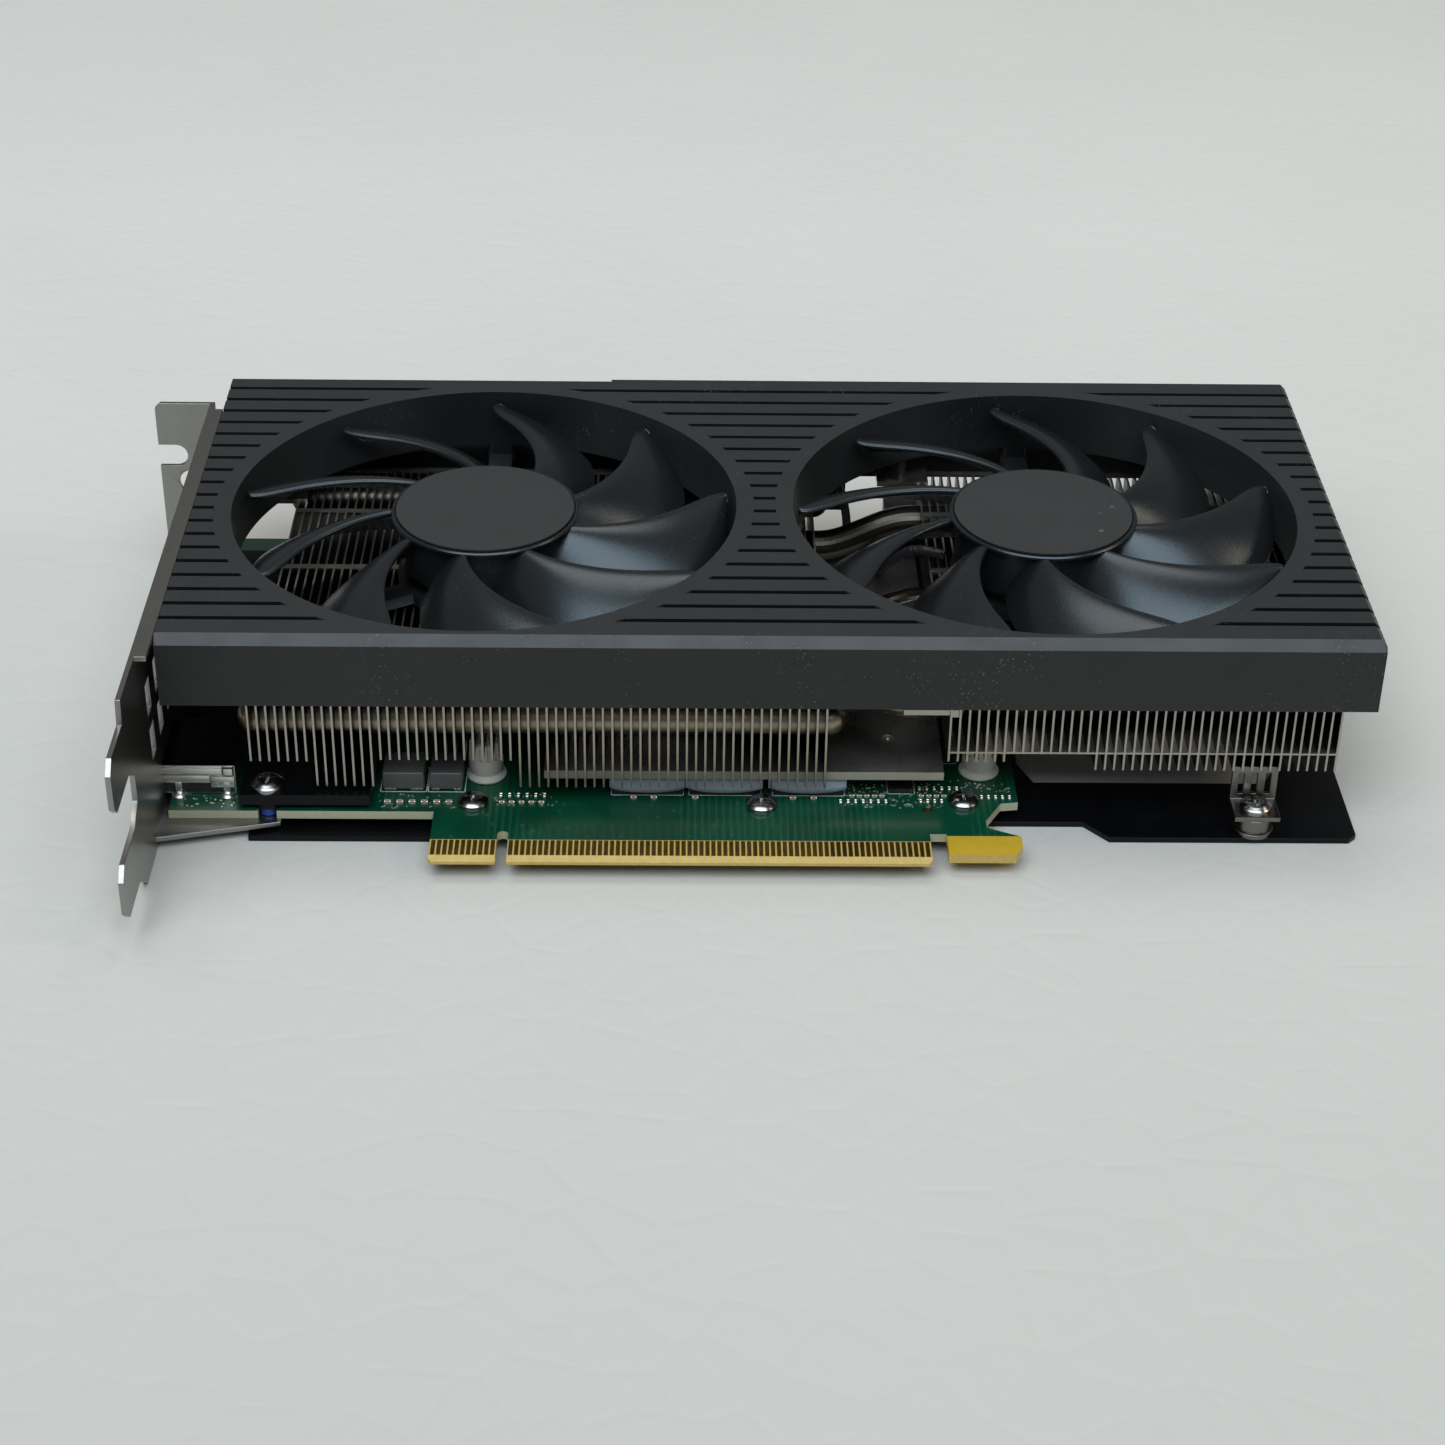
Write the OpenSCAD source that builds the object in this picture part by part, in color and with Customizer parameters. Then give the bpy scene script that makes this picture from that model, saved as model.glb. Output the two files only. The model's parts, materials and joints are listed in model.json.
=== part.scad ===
// Two-slot graphics card with two fans, lying on its backplate with the fans up.
// Drawn from the edge connector's key notch: +X runs from the slot bracket to the tail,
// +Y from the edge connector to the far edge, +Z from the circuit board to the fans.
// The whole card is then shifted so that its origin is the middle of its footprint.

/* [Edge connector and board] */
// Width of the edge connector tab
tab_w = 84.3; // [84.2:0.05:84.4]
// Distance from the tab's bracket end to the key notch centre
tab_to_key = 12.15; // [12.1:0.05:12.2]
// Thickness of the circuit board
board_t = 1.57; // [1.5:0.01:1.6]
// Board's bracket end, from the key notch
board_x0 = -57.3; // [-57.5:0.1:-57]
// Board's tail end, from the key notch
board_x1 = 88; // [87.5:0.5:90]
// Board's front edge, above the contact edge
board_y0 = 14; // [13.8:0.1:14.2]
// Board's far edge, above the contact edge
board_y1 = 109.8; // [109:0.1:110]

/* [Shroud] */
// Shroud's bracket end
shroud_x0 = -56.6; // [-56.6:0.1:-56.4]
// Shroud's tail end
shroud_x1 = 146.4; // [146:0.1:147]
// Front edge of the shroud's top face
shroud_y0 = 14.8; // [14.6:0.1:15]
// Far edge of the shroud's top face
shroud_y1 = 110.9; // [110.6:0.1:111.2]
// Height of the shroud's top face above the board
shroud_top = 34.8; // [34.6:0.1:35]
// Width of the bevel along the shroud's front edge
bevel = 1.6; // [1.2:0.1:1.8]
// Number of grooves across the shroud's top face
grooves = 19; // [15:1:21]
// Width of one groove
groove_w = 1.1; // [0.8:0.1:1.4]

/* [Fans] */
// Bracket-side fan's centre along the card
fan_left_x = -5.1; // [-5.4:0.1:-4.8]
// Tail-side fan's centre along the card
fan_right_x = 94.35; // [94:0.05:94.6]
// Both fans' centre across the card
fan_y = 60.5; // [60.3:0.1:60.7]
// Radius of the shroud's fan opening
opening_r = 44.7; // [44.5:0.1:44.9]
// Radius of a fan over its blade tips
tip_r = 43.7; // [43.2:0.1:43.8]
// Number of blades on a fan
blades = 9; // [7:1:11]
// Angle by which a blade leans forward from root to tip
blade_sweep = 35; // [30:1:45]

/* [Bracket] */
// Outer face of the slot bracket
bracket_x = -59.5; // [-59.6:0.1:-59.4]
// Thickness of the bracket's sheet
bracket_t = 0.9; // [0.8:0.05:1]
// Width of the two-slot bracket
bracket_w = 38.74; // [38.6:0.02:38.8]
// Distance between two expansion slots
slot_pitch = 20.32; // [20.32:0.01:20.33]
// Height of the screw tab above the contact edge
screw_tab_y = 100.36; // [100.2:0.02:100.5]

/* [Heatsink] */
// Distance from one fin to the next
fin_pitch = 1.57; // [1.5:0.01:1.8]
// Thickness of one fin
fin_t = 0.35; // [0.3:0.05:0.4]
// Diameter of a heat pipe
pipe_d = 6; // [5.8:0.1:6]

/* [Hidden] */
$fn = 48;
eps = 0.01;

// Sheet and case thicknesses
shroud_t = 1.5;
// Bottom of the skirt that closes the far side under the left fan
skirt_low = 7.5;
groove_depth = 1;
ring_w = 3.1;
end_bevel = 0.9;
back_t = 1;
back_top = -3.2;
back_bottom = back_top - back_t;

// Screw tab and bracket tongues
bracket_z0 = -4.09;
bracket_z1 = bracket_z0 + bracket_w;
bracket_in = bracket_x + bracket_t;
screw_tab_len = 10.5;
tongue_tip_y = -18.6;
tongue_w = 10.19;
tongue_z = 0.03;

// Footprint of the whole card
card_x0 = bracket_x - screw_tab_len;
card_x1 = shroud_x1;
card_y0 = tongue_tip_y;
card_y1 = shroud_y1;
card_mid_x = (card_x0 + card_x1) / 2;
card_mid_y = (card_y0 + card_y1) / 2;

// Board outline
tab_x0 = -tab_to_key;
tab_x1 = tab_w - tab_to_key;
key_r = 0.95;
key_top = 8.25;
hook_x0 = 75;
hook_x1 = 87.6;
hook_top = 7.5;
contact_pitch = 1;
contact_w = 0.7;
contact_y0 = 1.3;
contact_y1 = 5.6;

// Fan heights
blade_top = 33.2;
blade_low = 24.4;
hub_top = 33.9;
hub_low = 24;
hub_r = 16.7;
hub_body_r = 15.4;
magnet_r = 14;
magnet_in_r = 12.8;
stator_r = 12.3;
bearing_tube_r = 3.6;
bearing_r = 2.6;
shaft_r = 1;
shaft_play = 0.05;
frame_low = 19.6;
frame_high = 21.6;
frame_r = 16;
ear_r = 46.2;
ear_round = 2.6;
ear_screw_r = 0.9;

// Heatsink
fin_y0 = 16;
fin_y1 = 105;
fin_top = 18.5;
lip_top = 20.4;
lip_w = 5;
fin_strips = [36.2, 65.2, 86.6, 103.4];
strip_w = 1.6;
left_fin_x0 = -43;
left_fins = 63;
right_fin_x0 = 75.2;
right_fins = 43;
base_x0 = 6.6;
base_x1 = 75;
base_y0 = 18;
base_y1 = 103;
base_low = 4.3;
base_high = 5.9;
base_dimple = [66, 28.8];
pipe_r = pipe_d / 2;
pipe_play = 0.05;
upper_pipe_z = 14.6;
lower_pipe_z = base_high + pipe_play + pipe_r;
left_pipe_y = [21.6, 99.4];
tail_pipe_y = [27.4, fan_y, 92];
tail_low_y = [38.4, fan_y, 92];
rise_x0 = 47;

// Processor and memory
gpu_x = 39;
gpu_y = 62;
memory_h = 1.1;
memory_size = [14, 12];
memory_at = [[24.2, 26.6], [37.6, 26.6], [52, 26.6], [24.2, 95.5], [37.6, 95.5], [52, 95.5],
    [13.6, 52], [13.6, 72]];
cooler_screw_at = [for (sx = [-1, 1], sy = [-1, 1]) [gpu_x + sx * 25, gpu_y + sy * 20]];

// Fasteners, as [x, y]
board_screw_at = [[-5.6, 16.6], [43.8, 16.2], [78.6, 17.6], [-5.6, 107], [43.8, 107]];
plate_screw = [-40.5, 17.2];
rear_tab_screw = [-43, 95.5];
post_at = [128.3, 14.6];
shroud_ear_at = [[-48, 28], [-48, 93], [70.4, 19.4], [70.4, 101.6]];

// Ports along the bracket, by the middle of each
port_y = [26.6, 48.6, 68, 87.4];
port_in = 13.2;
dp_w = 16.4;
dp_h = 5;
hdmi_w = 15;
hdmi_h = 5.6;
sheet_t = 0.3;
port_z = 0.2;

// Power socket
power_x = 79;
power_w = 18.8;
power_h = 9.8;
power_y0 = 98.6;
power_y1 = 110.7;
power_pitch = 4.2;

module at_datum() {
    translate([-card_mid_x, -card_mid_y, -back_bottom]) children();
}

module block(x0, x1, y0, y1, z0, z1) {
    translate([x0, y0, z0]) cube([x1 - x0, y1 - y0, z1 - z0]);
}

module rod(x, y, z0, z1, r) {
    translate([x, y, z0]) cylinder(r = r, h = z1 - z0);
}

// Outline drawn in Y and Z, pushed along X
module along_x(x0, x1) {
    translate([x0, 0, 0]) rotate([90, 0, 90]) linear_extrude(x1 - x0) children();
}

// Outline drawn in X and Z, pushed along Y
module along_y(y0, y1) {
    translate([0, y1, 0]) rotate([90, 0, 0]) linear_extrude(y1 - y0) children();
}

// Pan head screw standing on z, shank downwards, with a cross recess
module pan_screw(x, y, z, head_r, shank_r, shank_l) {
    head_h = head_r * 0.55;
    translate([x, y, z]) difference() {
        union() {
            cylinder(r = head_r, h = head_h * 0.5);
            translate([0, 0, head_h * 0.5]) cylinder(r1 = head_r, r2 = head_r * 0.62, h = head_h * 0.5);
            translate([0, 0, -shank_l]) cylinder(r = shank_r, h = shank_l);
        }
        for (turn = [0, 90]) rotate(turn)
            translate([-head_r * 0.55, -head_r * 0.1, head_h * 0.45])
                cube([head_r * 1.1, head_r * 0.2, head_h]);
    }
}

function unit(v) = v / norm(v);

function heading(path, i) = unit(path[min(i + 1, len(path) - 1)] - path[max(i - 1, 0)]);

// Path with extra points on a smooth curve through its own points
function smooth(p, steps) =
    let (last = len(p) - 1)
    [for (i = [0:last - 1], s = [0:steps - 1])
        let (a = p[max(i - 1, 0)], b = p[i], c = p[i + 1], d = p[min(i + 2, last)], t = s / steps)
        b + 0.5 * t * (c - a) + t * t * (a - 2.5 * b + 2 * c - 0.5 * d)
            + t * t * t * (1.5 * (b - c) + 0.5 * (d - a)), p[last]];

// Round tube along a path that never runs along the side direction
module tube(path, r, sides, side) {
    last = len(path) - 1;
    points = [for (i = [0:last], k = [0:sides - 1])
        let (t = heading(path, i), n = unit(cross(t, side)), b = cross(t, n), a = k * 360 / sides)
        path[i] + r * (cos(a) * n + sin(a) * b)];
    walls = [for (i = [0:last - 1], k = [0:sides - 1]) let (m = (k + 1) % sides)
        each [[i * sides + k, (i + 1) * sides + k, (i + 1) * sides + m],
            [i * sides + k, (i + 1) * sides + m, i * sides + m]]];
    start_cap = [for (k = [0:sides - 1]) k];
    end_cap = [for (k = [sides - 1:-1:0]) last * sides + k];
    polyhedron(points, concat(walls, [start_cap, end_cap]), convexity = 6);
}

/* Shroud */

module shroud_profile() {
    face_y = shroud_y0 - bevel;
    polygon([[face_y, 21.6], [face_y, shroud_top - bevel], [shroud_y0, shroud_top],
        [shroud_y1, shroud_top], [shroud_y1, 15], [shroud_y1 - shroud_t, 15],
        [shroud_y1 - shroud_t, shroud_top - shroud_t - 0.4],
        [shroud_y0 + 0.6, shroud_top - shroud_t - 0.4],
        [face_y + shroud_t, shroud_top - shroud_t - bevel], [face_y + shroud_t, 21.6]]);
}

// Grooves across the top face, which stop short of each fan opening
module shroud_grooves() {
    pitch = (shroud_y1 - shroud_y0) / (grooves + 1);
    difference() {
        for (i = [1:grooves])
            block(shroud_x0 - 1, shroud_x1 + 1, shroud_y0 + i * pitch - groove_w / 2,
                shroud_y0 + i * pitch + groove_w / 2, shroud_top - groove_depth, shroud_top + 1);
        for (x = [fan_left_x, fan_right_x])
            rod(x, fan_y, shroud_top - groove_depth - 1, shroud_top + 2, opening_r + ring_w);
    }
}

module shroud() {
    plate_z = shroud_top - shroud_t - 0.4;
    color([0.16, 0.17, 0.18]) at_datum() difference() {
        union() {
            difference() {
                along_x(shroud_x0, shroud_x1) shroud_profile();
                shroud_grooves();
            }
            block(shroud_x1 - shroud_t, shroud_x1, shroud_y0 - bevel + 0.8, shroud_y1 - 0.5,
                21.6, shroud_top - 1.2);
            for (x = [fan_left_x, fan_right_x]) {
                rod(x, fan_y, 23.6, plate_z + eps, opening_r + 1.3);
                for (a = [90, 210, 330])
                    rod(x + ear_r * cos(a), fan_y + ear_r * sin(a), frame_high, plate_z + eps, 2.4);
            }
            for (p = shroud_ear_at) rod(p[0], p[1], fin_top + 1, plate_z + eps, 2.6);
            block(-44, 62, shroud_y1 - shroud_t, shroud_y1 - 0.8, skirt_low, 15 + eps);
        }
        for (x = [fan_left_x, fan_right_x]) {
            rod(x, fan_y, 14, shroud_top + 1, opening_r);
            for (a = [90, 210, 330])
                rod(x + ear_r * cos(a), fan_y + ear_r * sin(a), frame_high - 1, 28, ear_screw_r);
        }
        for (p = shroud_ear_at) rod(p[0], p[1], fin_top, 28, ear_screw_r);
        block(shroud_x0 - 1, 16.2, shroud_y1 - 0.8, shroud_y1 + 1, 10, 40);
        along_y(0, 130) polygon([[shroud_x1 - end_bevel, shroud_top + eps],
            [shroud_x1 + eps, shroud_top - end_bevel], [shroud_x1 + 2, shroud_top + 2]]);
    }
}

module shroud_screws() {
    color([0.2, 0.2, 0.21]) at_datum() for (p = shroud_ear_at)
        translate([p[0], p[1], fin_top - 0.02]) rotate([180, 0, 0]) pan_screw(0, 0, 0, 1.9, 0.88, 6);
}

/* Fans */

blade_rings = 10;
blade_steps = 7;
root_r = hub_body_r - 0.5;

// Radius of ring i of a blade, from the root to the tip
function ring_radius(i) = root_r + (tip_r - root_r) * i / blade_rings;

// Angle that a blade covers at ring i: wide at the middle, rounded off at the tip
function ring_chord(i) =
    let (u = i / blade_rings)
    u < 0.75 ? 24 + 12 * u * (1 - u) : 26.25 * sqrt(max(0.02, 1 - pow((u - 0.75) / 0.262, 2)));

// Angle of a blade's leading edge at ring i
function ring_lead(i) =
    let (u = i / blade_rings)
    blade_sweep * u - (u < 0.75 ? 0 : 5 * (1 - sqrt(max(0, 1 - pow((u - 0.75) / 0.25, 2)))));

// Height of the blade's middle surface at ring i, step j: flat at the leading edge, then falling away
function blade_z(i, j) =
    let (u = i / blade_rings, v = j / blade_steps, drop = 0.35 + 0.65 * ring_chord(i) / 27)
    blade_top - 0.6 - 0.4 * u - (blade_top - blade_low - 1.8) * drop * pow(v, 1.6);

// Blade's half thickness at ring i, step j: a rounded nose that thins towards the trailing edge
function blade_half(i, j) =
    let (u = i / blade_rings, v = j / blade_steps)
    0.12 + (2 - 0.6 * u) * (1.4845 * sqrt(v) - 0.63 * v - 1.758 * v * v + 1.4215 * v * v * v
        - 0.5075 * v * v * v * v);

function blade_point(i, j, side) =
    let (a = ring_lead(i) - ring_chord(i) * j / blade_steps, r = ring_radius(i))
    [r * cos(a), r * sin(a), blade_z(i, j) + side * blade_half(i, j)];

module fan_blade() {
    row = blade_steps + 1;
    points = [for (side = [1, -1], i = [0:blade_rings], j = [0:blade_steps]) blade_point(i, j, side)];
    low = row * (blade_rings + 1);
    upper = [for (i = [0:blade_rings - 1], j = [0:blade_steps - 1])
        each [[i * row + j, (i + 1) * row + j + 1, i * row + j + 1],
            [i * row + j, (i + 1) * row + j, (i + 1) * row + j + 1]]];
    lower = [for (f = upper) [low + f[2], low + f[1], low + f[0]]];
    rim = concat([for (j = [0:blade_steps - 1]) j], [for (i = [0:blade_rings - 1]) i * row + blade_steps],
        [for (j = [blade_steps:-1:1]) blade_rings * row + j], [for (i = [blade_rings:-1:1]) i * row]);
    count = len(rim);
    edge = [for (k = [0:count - 1]) let (a = rim[k], b = rim[(k + 1) % count])
        each [[a, b, low + b], [a, low + b, low + a]]];
    polyhedron(points, concat(upper, lower, edge), convexity = 4);
}

module fan_rotor(x, turn) {
    color([0.19, 0.19, 0.2]) at_datum() translate([x, fan_y, 0]) {
        difference() {
            union() {
                translate([0, 0, hub_low]) cylinder(r = hub_body_r, h = hub_top - hub_low - 1.2);
                translate([0, 0, hub_top - 1.2]) cylinder(r = hub_r, h = 0.9);
                for (k = [0:blades - 1]) rotate(turn + k * 360 / blades) fan_blade();
            }
            translate([0, 0, hub_low - 1]) cylinder(r = magnet_r, h = hub_top - hub_low - 0.6);
            translate([0, 0, hub_low]) cylinder(r = shaft_r, h = 20);
        }
    }
}

module hub_cap(x) {
    color([0.17, 0.17, 0.18]) at_datum() rod(x, fan_y, hub_top - 0.3, hub_top, hub_r - 0.9);
}

module rotor_magnet(x) {
    color([0.3, 0.28, 0.26]) at_datum() difference() {
        rod(x, fan_y, hub_low + 0.6, hub_top - 2.2, magnet_r - 0.02);
        rod(x, fan_y, hub_low, hub_top, magnet_in_r);
    }
}

module fan_shaft(x) {
    color([0.75, 0.75, 0.77]) at_datum() rod(x, fan_y, frame_low + 0.9, hub_top - 0.3, shaft_r);
}

module fan_frame(x) {
    color([0.13, 0.13, 0.14]) at_datum() translate([x, fan_y, 0]) difference() {
        union() {
            translate([0, 0, frame_low]) cylinder(r = frame_r, h = frame_high - frame_low);
            translate([0, 0, frame_high]) cylinder(r = bearing_tube_r, h = 8.4);
            for (a = [90, 210, 330]) rotate(a) {
                translate([8, -2.2, frame_low]) cube([ear_r - 8, 4.4, frame_high - frame_low]);
                translate([ear_r, 0, frame_low]) cylinder(r = ear_round, h = frame_high - frame_low);
            }
        }
        translate([0, 0, frame_low + 0.8]) cylinder(r = bearing_r, h = 20);
        for (a = [90, 210, 330]) rotate(a)
            translate([ear_r, 0, frame_low - 1]) cylinder(r = 1.2, h = 5);
    }
}

module fan_bearing(x) {
    color([0.72, 0.55, 0.3]) at_datum() difference() {
        rod(x, fan_y, frame_low + 0.82, frame_high + 8.2, bearing_r - 0.02);
        rod(x, fan_y, frame_low, frame_high + 10, shaft_r + shaft_play);
    }
}

// Nine-toothed laminated core with its windings
module stator(x) {
    color([0.72, 0.4, 0.2]) at_datum() translate([x, fan_y, frame_high + 2.2]) difference() {
        union() {
            cylinder(r = 6.4, h = 5);
            for (k = [0:8]) rotate(k * 40) {
                translate([5, -1.2, 0.6]) cube([6, 2.4, 3.8]);
                translate([10.6, -3.2, 0.2]) cube([1.2, 6.4, 4.6]);
            }
        }
        translate([0, 0, -1]) cylinder(r = bearing_tube_r + 0.02, h = 8);
    }
}

module motor_board(x) {
    color([0.1, 0.35, 0.2]) at_datum() difference() {
        rod(x, fan_y, frame_high + 0.02, frame_high + 1, stator_r + 0.6);
        rod(x, fan_y, frame_high - 1, frame_high + 2, bearing_tube_r + 0.02);
    }
}

module fan_screws() {
    color([0.5, 0.5, 0.52]) at_datum() for (x = [fan_left_x, fan_right_x], a = [90, 210, 330])
        translate([x + ear_r * cos(a), fan_y + ear_r * sin(a), frame_low]) rotate([180, 0, 0])
            pan_screw(0, 0, 0, 0.5 * 3.6, 0.88, 7);
}

// Fan lead: runs down a frame arm and over the heatsink's far side to its header
lead_r = 0.9;

module lead(route) {
    color([0.08, 0.08, 0.09]) at_datum() tube(smooth(route, 3), lead_r, 8, [0.3, -0.8, 0.5]);
}

header_x = [62.4, 67.4];
header_y = 106;

module fan_lead_left() {
    lead([[12, 67, 20.6], [30, 84, 20.6], [50, 100, 20.6], [56.8, 103.4, 20.2], [60.4, 105.6, 15],
        [62, 106, 9], [62.4, 106, 4.6]]);
}

module fan_lead_right() {
    lead([[78, 68, 20.6], [72.4, 70.5, 20.2], [68.2, 76, 14], [67.4, 83, 9], [67.4, 92, 7.2],
        [67.4, 101, 7.2], [67.4, 105.4, 6.4], [67.4, 106, 4.6]]);
}

module fan_headers() {
    color([0.85, 0.84, 0.8]) at_datum() for (x = header_x)
        block(x - 1.9, x + 1.9, header_y - 1.5, header_y + 1.5, 0, 4.4);
}

/* Heatsink */

// Height of the left stack's lower edge at x: clear of the tall parts on the board
function left_fin_low(x) = x < -33 ? 8.8 : x < -22.5 ? 3.8 : x < 2 ? 9.2 : 3.8;

// Height of the right stack's lower edge at x
function right_fin_low(x) = x < 86 ? 9.5 : x < 99.5 ? 11.1 : 7.9;

// Comb of fins that strips join along the top, with a raised front edge
module fin_comb(x0, count, lows, strips) {
    end_x = x0 + (count - 1) * fin_pitch + fin_t;
    along_y(fin_y0, fin_y1) for (i = [0:count - 1]) let (x = x0 + i * fin_pitch)
        translate([x, lows[i]]) square([fin_t, fin_top - lows[i]]);
    along_y(fin_y0, fin_y0 + lip_w) for (i = [0:count - 1]) let (x = x0 + i * fin_pitch)
        translate([x, fin_top - 1]) square([fin_t, lip_top - fin_top + 1]);
    block(x0, end_x, fin_y0, fin_y0 + lip_w, lip_top - 0.4, lip_top);
    for (y = strips) block(x0, end_x, y, y + strip_w, fin_top - 0.4, fin_top);
}

module fin_stack_left() {
    spine = fin_top - 0.4;
    lows = [for (i = [0:left_fins - 1]) left_fin_low(left_fin_x0 + i * fin_pitch)];
    color([0.78, 0.77, 0.72]) at_datum() difference() {
        union() {
            fin_comb(left_fin_x0, left_fins, lows, fin_strips);
            for (k = [0, 1]) let (p = shroud_ear_at[k]) {
                block(p[0] - 3, left_fin_x0 + 2, p[1] - 3, p[1] + 3, fin_top, fin_top + 1);
                block(left_fin_x0, left_fin_x0 + 2, p[1] - 3, p[1] + 3, spine, fin_top + 1);
            }
        }
        block(base_x0 - 0.2, base_x1, base_y0 - 0.1, base_y1 + 0.1, 0, base_high + 0.1);
        block(rise_x0 - 1.5, base_x1, tail_low_y[0] - 6, tail_low_y[0] + pipe_r + 0.5, 0, upper_pipe_z + 1.6);
        for (y = left_pipe_y) along_x(-60, 90) translate([y, upper_pipe_z]) circle(r = pipe_r + pipe_play);
        for (y = tail_low_y) along_x(base_x0, 90) translate([y, lower_pipe_z]) circle(r = pipe_r + pipe_play);
        for (k = [0, 1]) rod(shroud_ear_at[k][0], shroud_ear_at[k][1], 10, 30, 1.2);
    }
}

module fin_stack_right() {
    spine = fin_top - 0.4;
    lows = [for (i = [0:right_fins - 1]) right_fin_low(right_fin_x0 + i * fin_pitch)];
    last_x = right_fin_x0 + (right_fins - 1) * fin_pitch;
    color([0.78, 0.77, 0.72]) at_datum() difference() {
        union() {
            fin_comb(right_fin_x0, right_fins, lows, fin_strips);
            block(right_fin_x0, last_x, fin_y0, fin_y1, 11.1, 11.45);
            for (k = [2, 3]) let (p = shroud_ear_at[k]) {
                block(p[0] - 3, right_fin_x0 + 2, p[1] - 3, p[1] + 3, fin_top, fin_top + 1);
                block(right_fin_x0, right_fin_x0 + 2, p[1] - 3, p[1] + 3, spine, fin_top + 1);
            }
        }
        for (y = tail_pipe_y) along_x(60, 150) translate([y, upper_pipe_z]) circle(r = pipe_r + pipe_play);
        for (k = [2, 3]) rod(shroud_ear_at[k][0], shroud_ear_at[k][1], 10, 30, 1.2);
        block(power_x - power_w / 2 - 1, power_x + power_w / 2 + 1, power_y0 - 1, 120, 0, power_h + 1.2);
    }
}

module base_plate() {
    color([0.62, 0.62, 0.62]) at_datum() difference() {
        union() {
            block(base_x0, base_x1, base_y0, base_y1, base_low, base_high - 0.05);
            for (p = cooler_screw_at) rod(p[0], p[1], 0.05, base_low + 0.2, 2.6);
        }
        for (p = cooler_screw_at) rod(p[0], p[1], -1, base_high - 0.6, 1.2);
        translate([base_dimple[0], base_dimple[1], base_high + 1]) sphere(r = 1.6);
        block(power_x - power_w / 2 - 0.6, base_x1 + 1, power_y0 - 0.6, base_y1 + 1, 0, base_high + 1);
    }
}

module cold_plate() {
    color([0.8, 0.55, 0.4]) at_datum()
        block(gpu_x - 18.5, gpu_x + 18.5, gpu_y - 17, gpu_y + 17, 2.65, base_low - 0.02);
}

module thermal_pads() {
    color([0.55, 0.6, 0.66]) at_datum() for (p = memory_at)
        block(p[0] - 6.45, p[0] + 6.45, p[1] - 7.3, p[1] + 5.4, memory_h + 0.02, base_low - 0.02);
}

// Straight pipe with pinched, rounded ends
module heat_pipe_left(y) {
    x0 = left_fin_x0 + 0.6;
    x1 = left_fin_x0 + left_fins * fin_pitch - 0.8;
    color([0.72, 0.7, 0.66]) at_datum() translate([0, y, upper_pipe_z]) rotate([0, 90, 0]) {
        translate([0, 0, x0]) cylinder(r = pipe_r, h = x1 - x0);
        translate([0, 0, x0]) sphere(r = pipe_r);
        translate([0, 0, x1]) sphere(r = pipe_r);
    }
}

function ease(t) = (1 - cos(180 * min(1, t))) / 2;

// Pipe that lies on the base plate, climbs beside the gap and runs through the tail stack
module heat_pipe_tail(k) {
    y0 = tail_low_y[k];
    y1 = tail_pipe_y[k];
    x0 = y0 == y1 ? 56 : rise_x0;
    x1 = y0 == y1 ? 74 : 71;
    climb = y0 == y1 ? 1 : 0.6;
    end_x = right_fin_x0 + right_fins * fin_pitch + 0.6;
    path = concat([[base_x0 + 4, y0, lower_pipe_z]],
        [for (k = [0:14]) let (t = k / 14) [x0 + t * (x1 - x0), y0 + (y1 - y0) * ease(t),
            lower_pipe_z + (upper_pipe_z - lower_pipe_z) * ease(t / climb)]],
        [[end_x, y1, upper_pipe_z]]);
    color([0.72, 0.7, 0.66]) at_datum() tube(path, pipe_r, 24, [0, 1, 0]);
}

/* Circuit board */

module board_outline() {
    difference() {
        polygon([[board_x0, board_y0], [tab_x0, board_y0], [tab_x0, 0.6], [tab_x0 + 0.6, 0],
            [tab_x1 - 0.6, 0], [tab_x1, 0.6], [tab_x1, hook_top + 0.5], [hook_x0, hook_top + 0.5],
            [hook_x0, 1.9], [hook_x1 - 1.3, 1.9], [hook_x1, 4.6], [hook_x1, hook_top - 0.1], [82, 10],
            [82, 12], [85, 17.3], [board_x1, 17.7], [board_x1, board_y1], [board_x0, board_y1]]);
        translate([-key_r, -1]) square([2 * key_r, key_top - key_r + 1]);
        translate([0, key_top - key_r]) circle(r = key_r);
        translate([plate_screw[0] - 1.6, board_y0 - 1]) square([3.2, plate_screw[1] - board_y0 + 1]);
        translate(plate_screw) circle(r = 1.6);
        translate(rear_tab_screw) circle(r = 1.6);
        for (p = board_screw_at) translate(p) circle(r = 1.5);
        for (p = cooler_screw_at) translate(p) circle(r = 1.5);
    }
}

// Slant that thins the contact edge from both faces
module edge_slant() {
    along_x(tab_x0 - 1, tab_x1 + 1) union() {
        polygon([[-1, eps], [-1, -0.9], [1.3, eps]]);
        polygon([[-1, -board_t - eps], [-1, -board_t + 0.9], [1.3, -board_t - eps]]);
    }
}

module circuit_board() {
    color([0.05, 0.32, 0.2]) at_datum() difference() {
        translate([0, 0, -board_t]) linear_extrude(board_t) board_outline();
        edge_slant();
    }
}

module contact_row(z0, z1) {
    for (i = [0:10]) block(-11.5 + i * contact_pitch - contact_w / 2, -11.5 + i * contact_pitch + contact_w / 2,
        contact_y0, contact_y1, z0, z1);
    for (i = [0:70]) block(1.5 + i * contact_pitch - contact_w / 2, 1.5 + i * contact_pitch + contact_w / 2,
        contact_y0, contact_y1, z0, z1);
}

module edge_contacts() {
    color([0.85, 0.68, 0.25]) at_datum() {
        contact_row(0, 0.04);
        contact_row(-board_t - 0.04, -board_t);
    }
}

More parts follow.
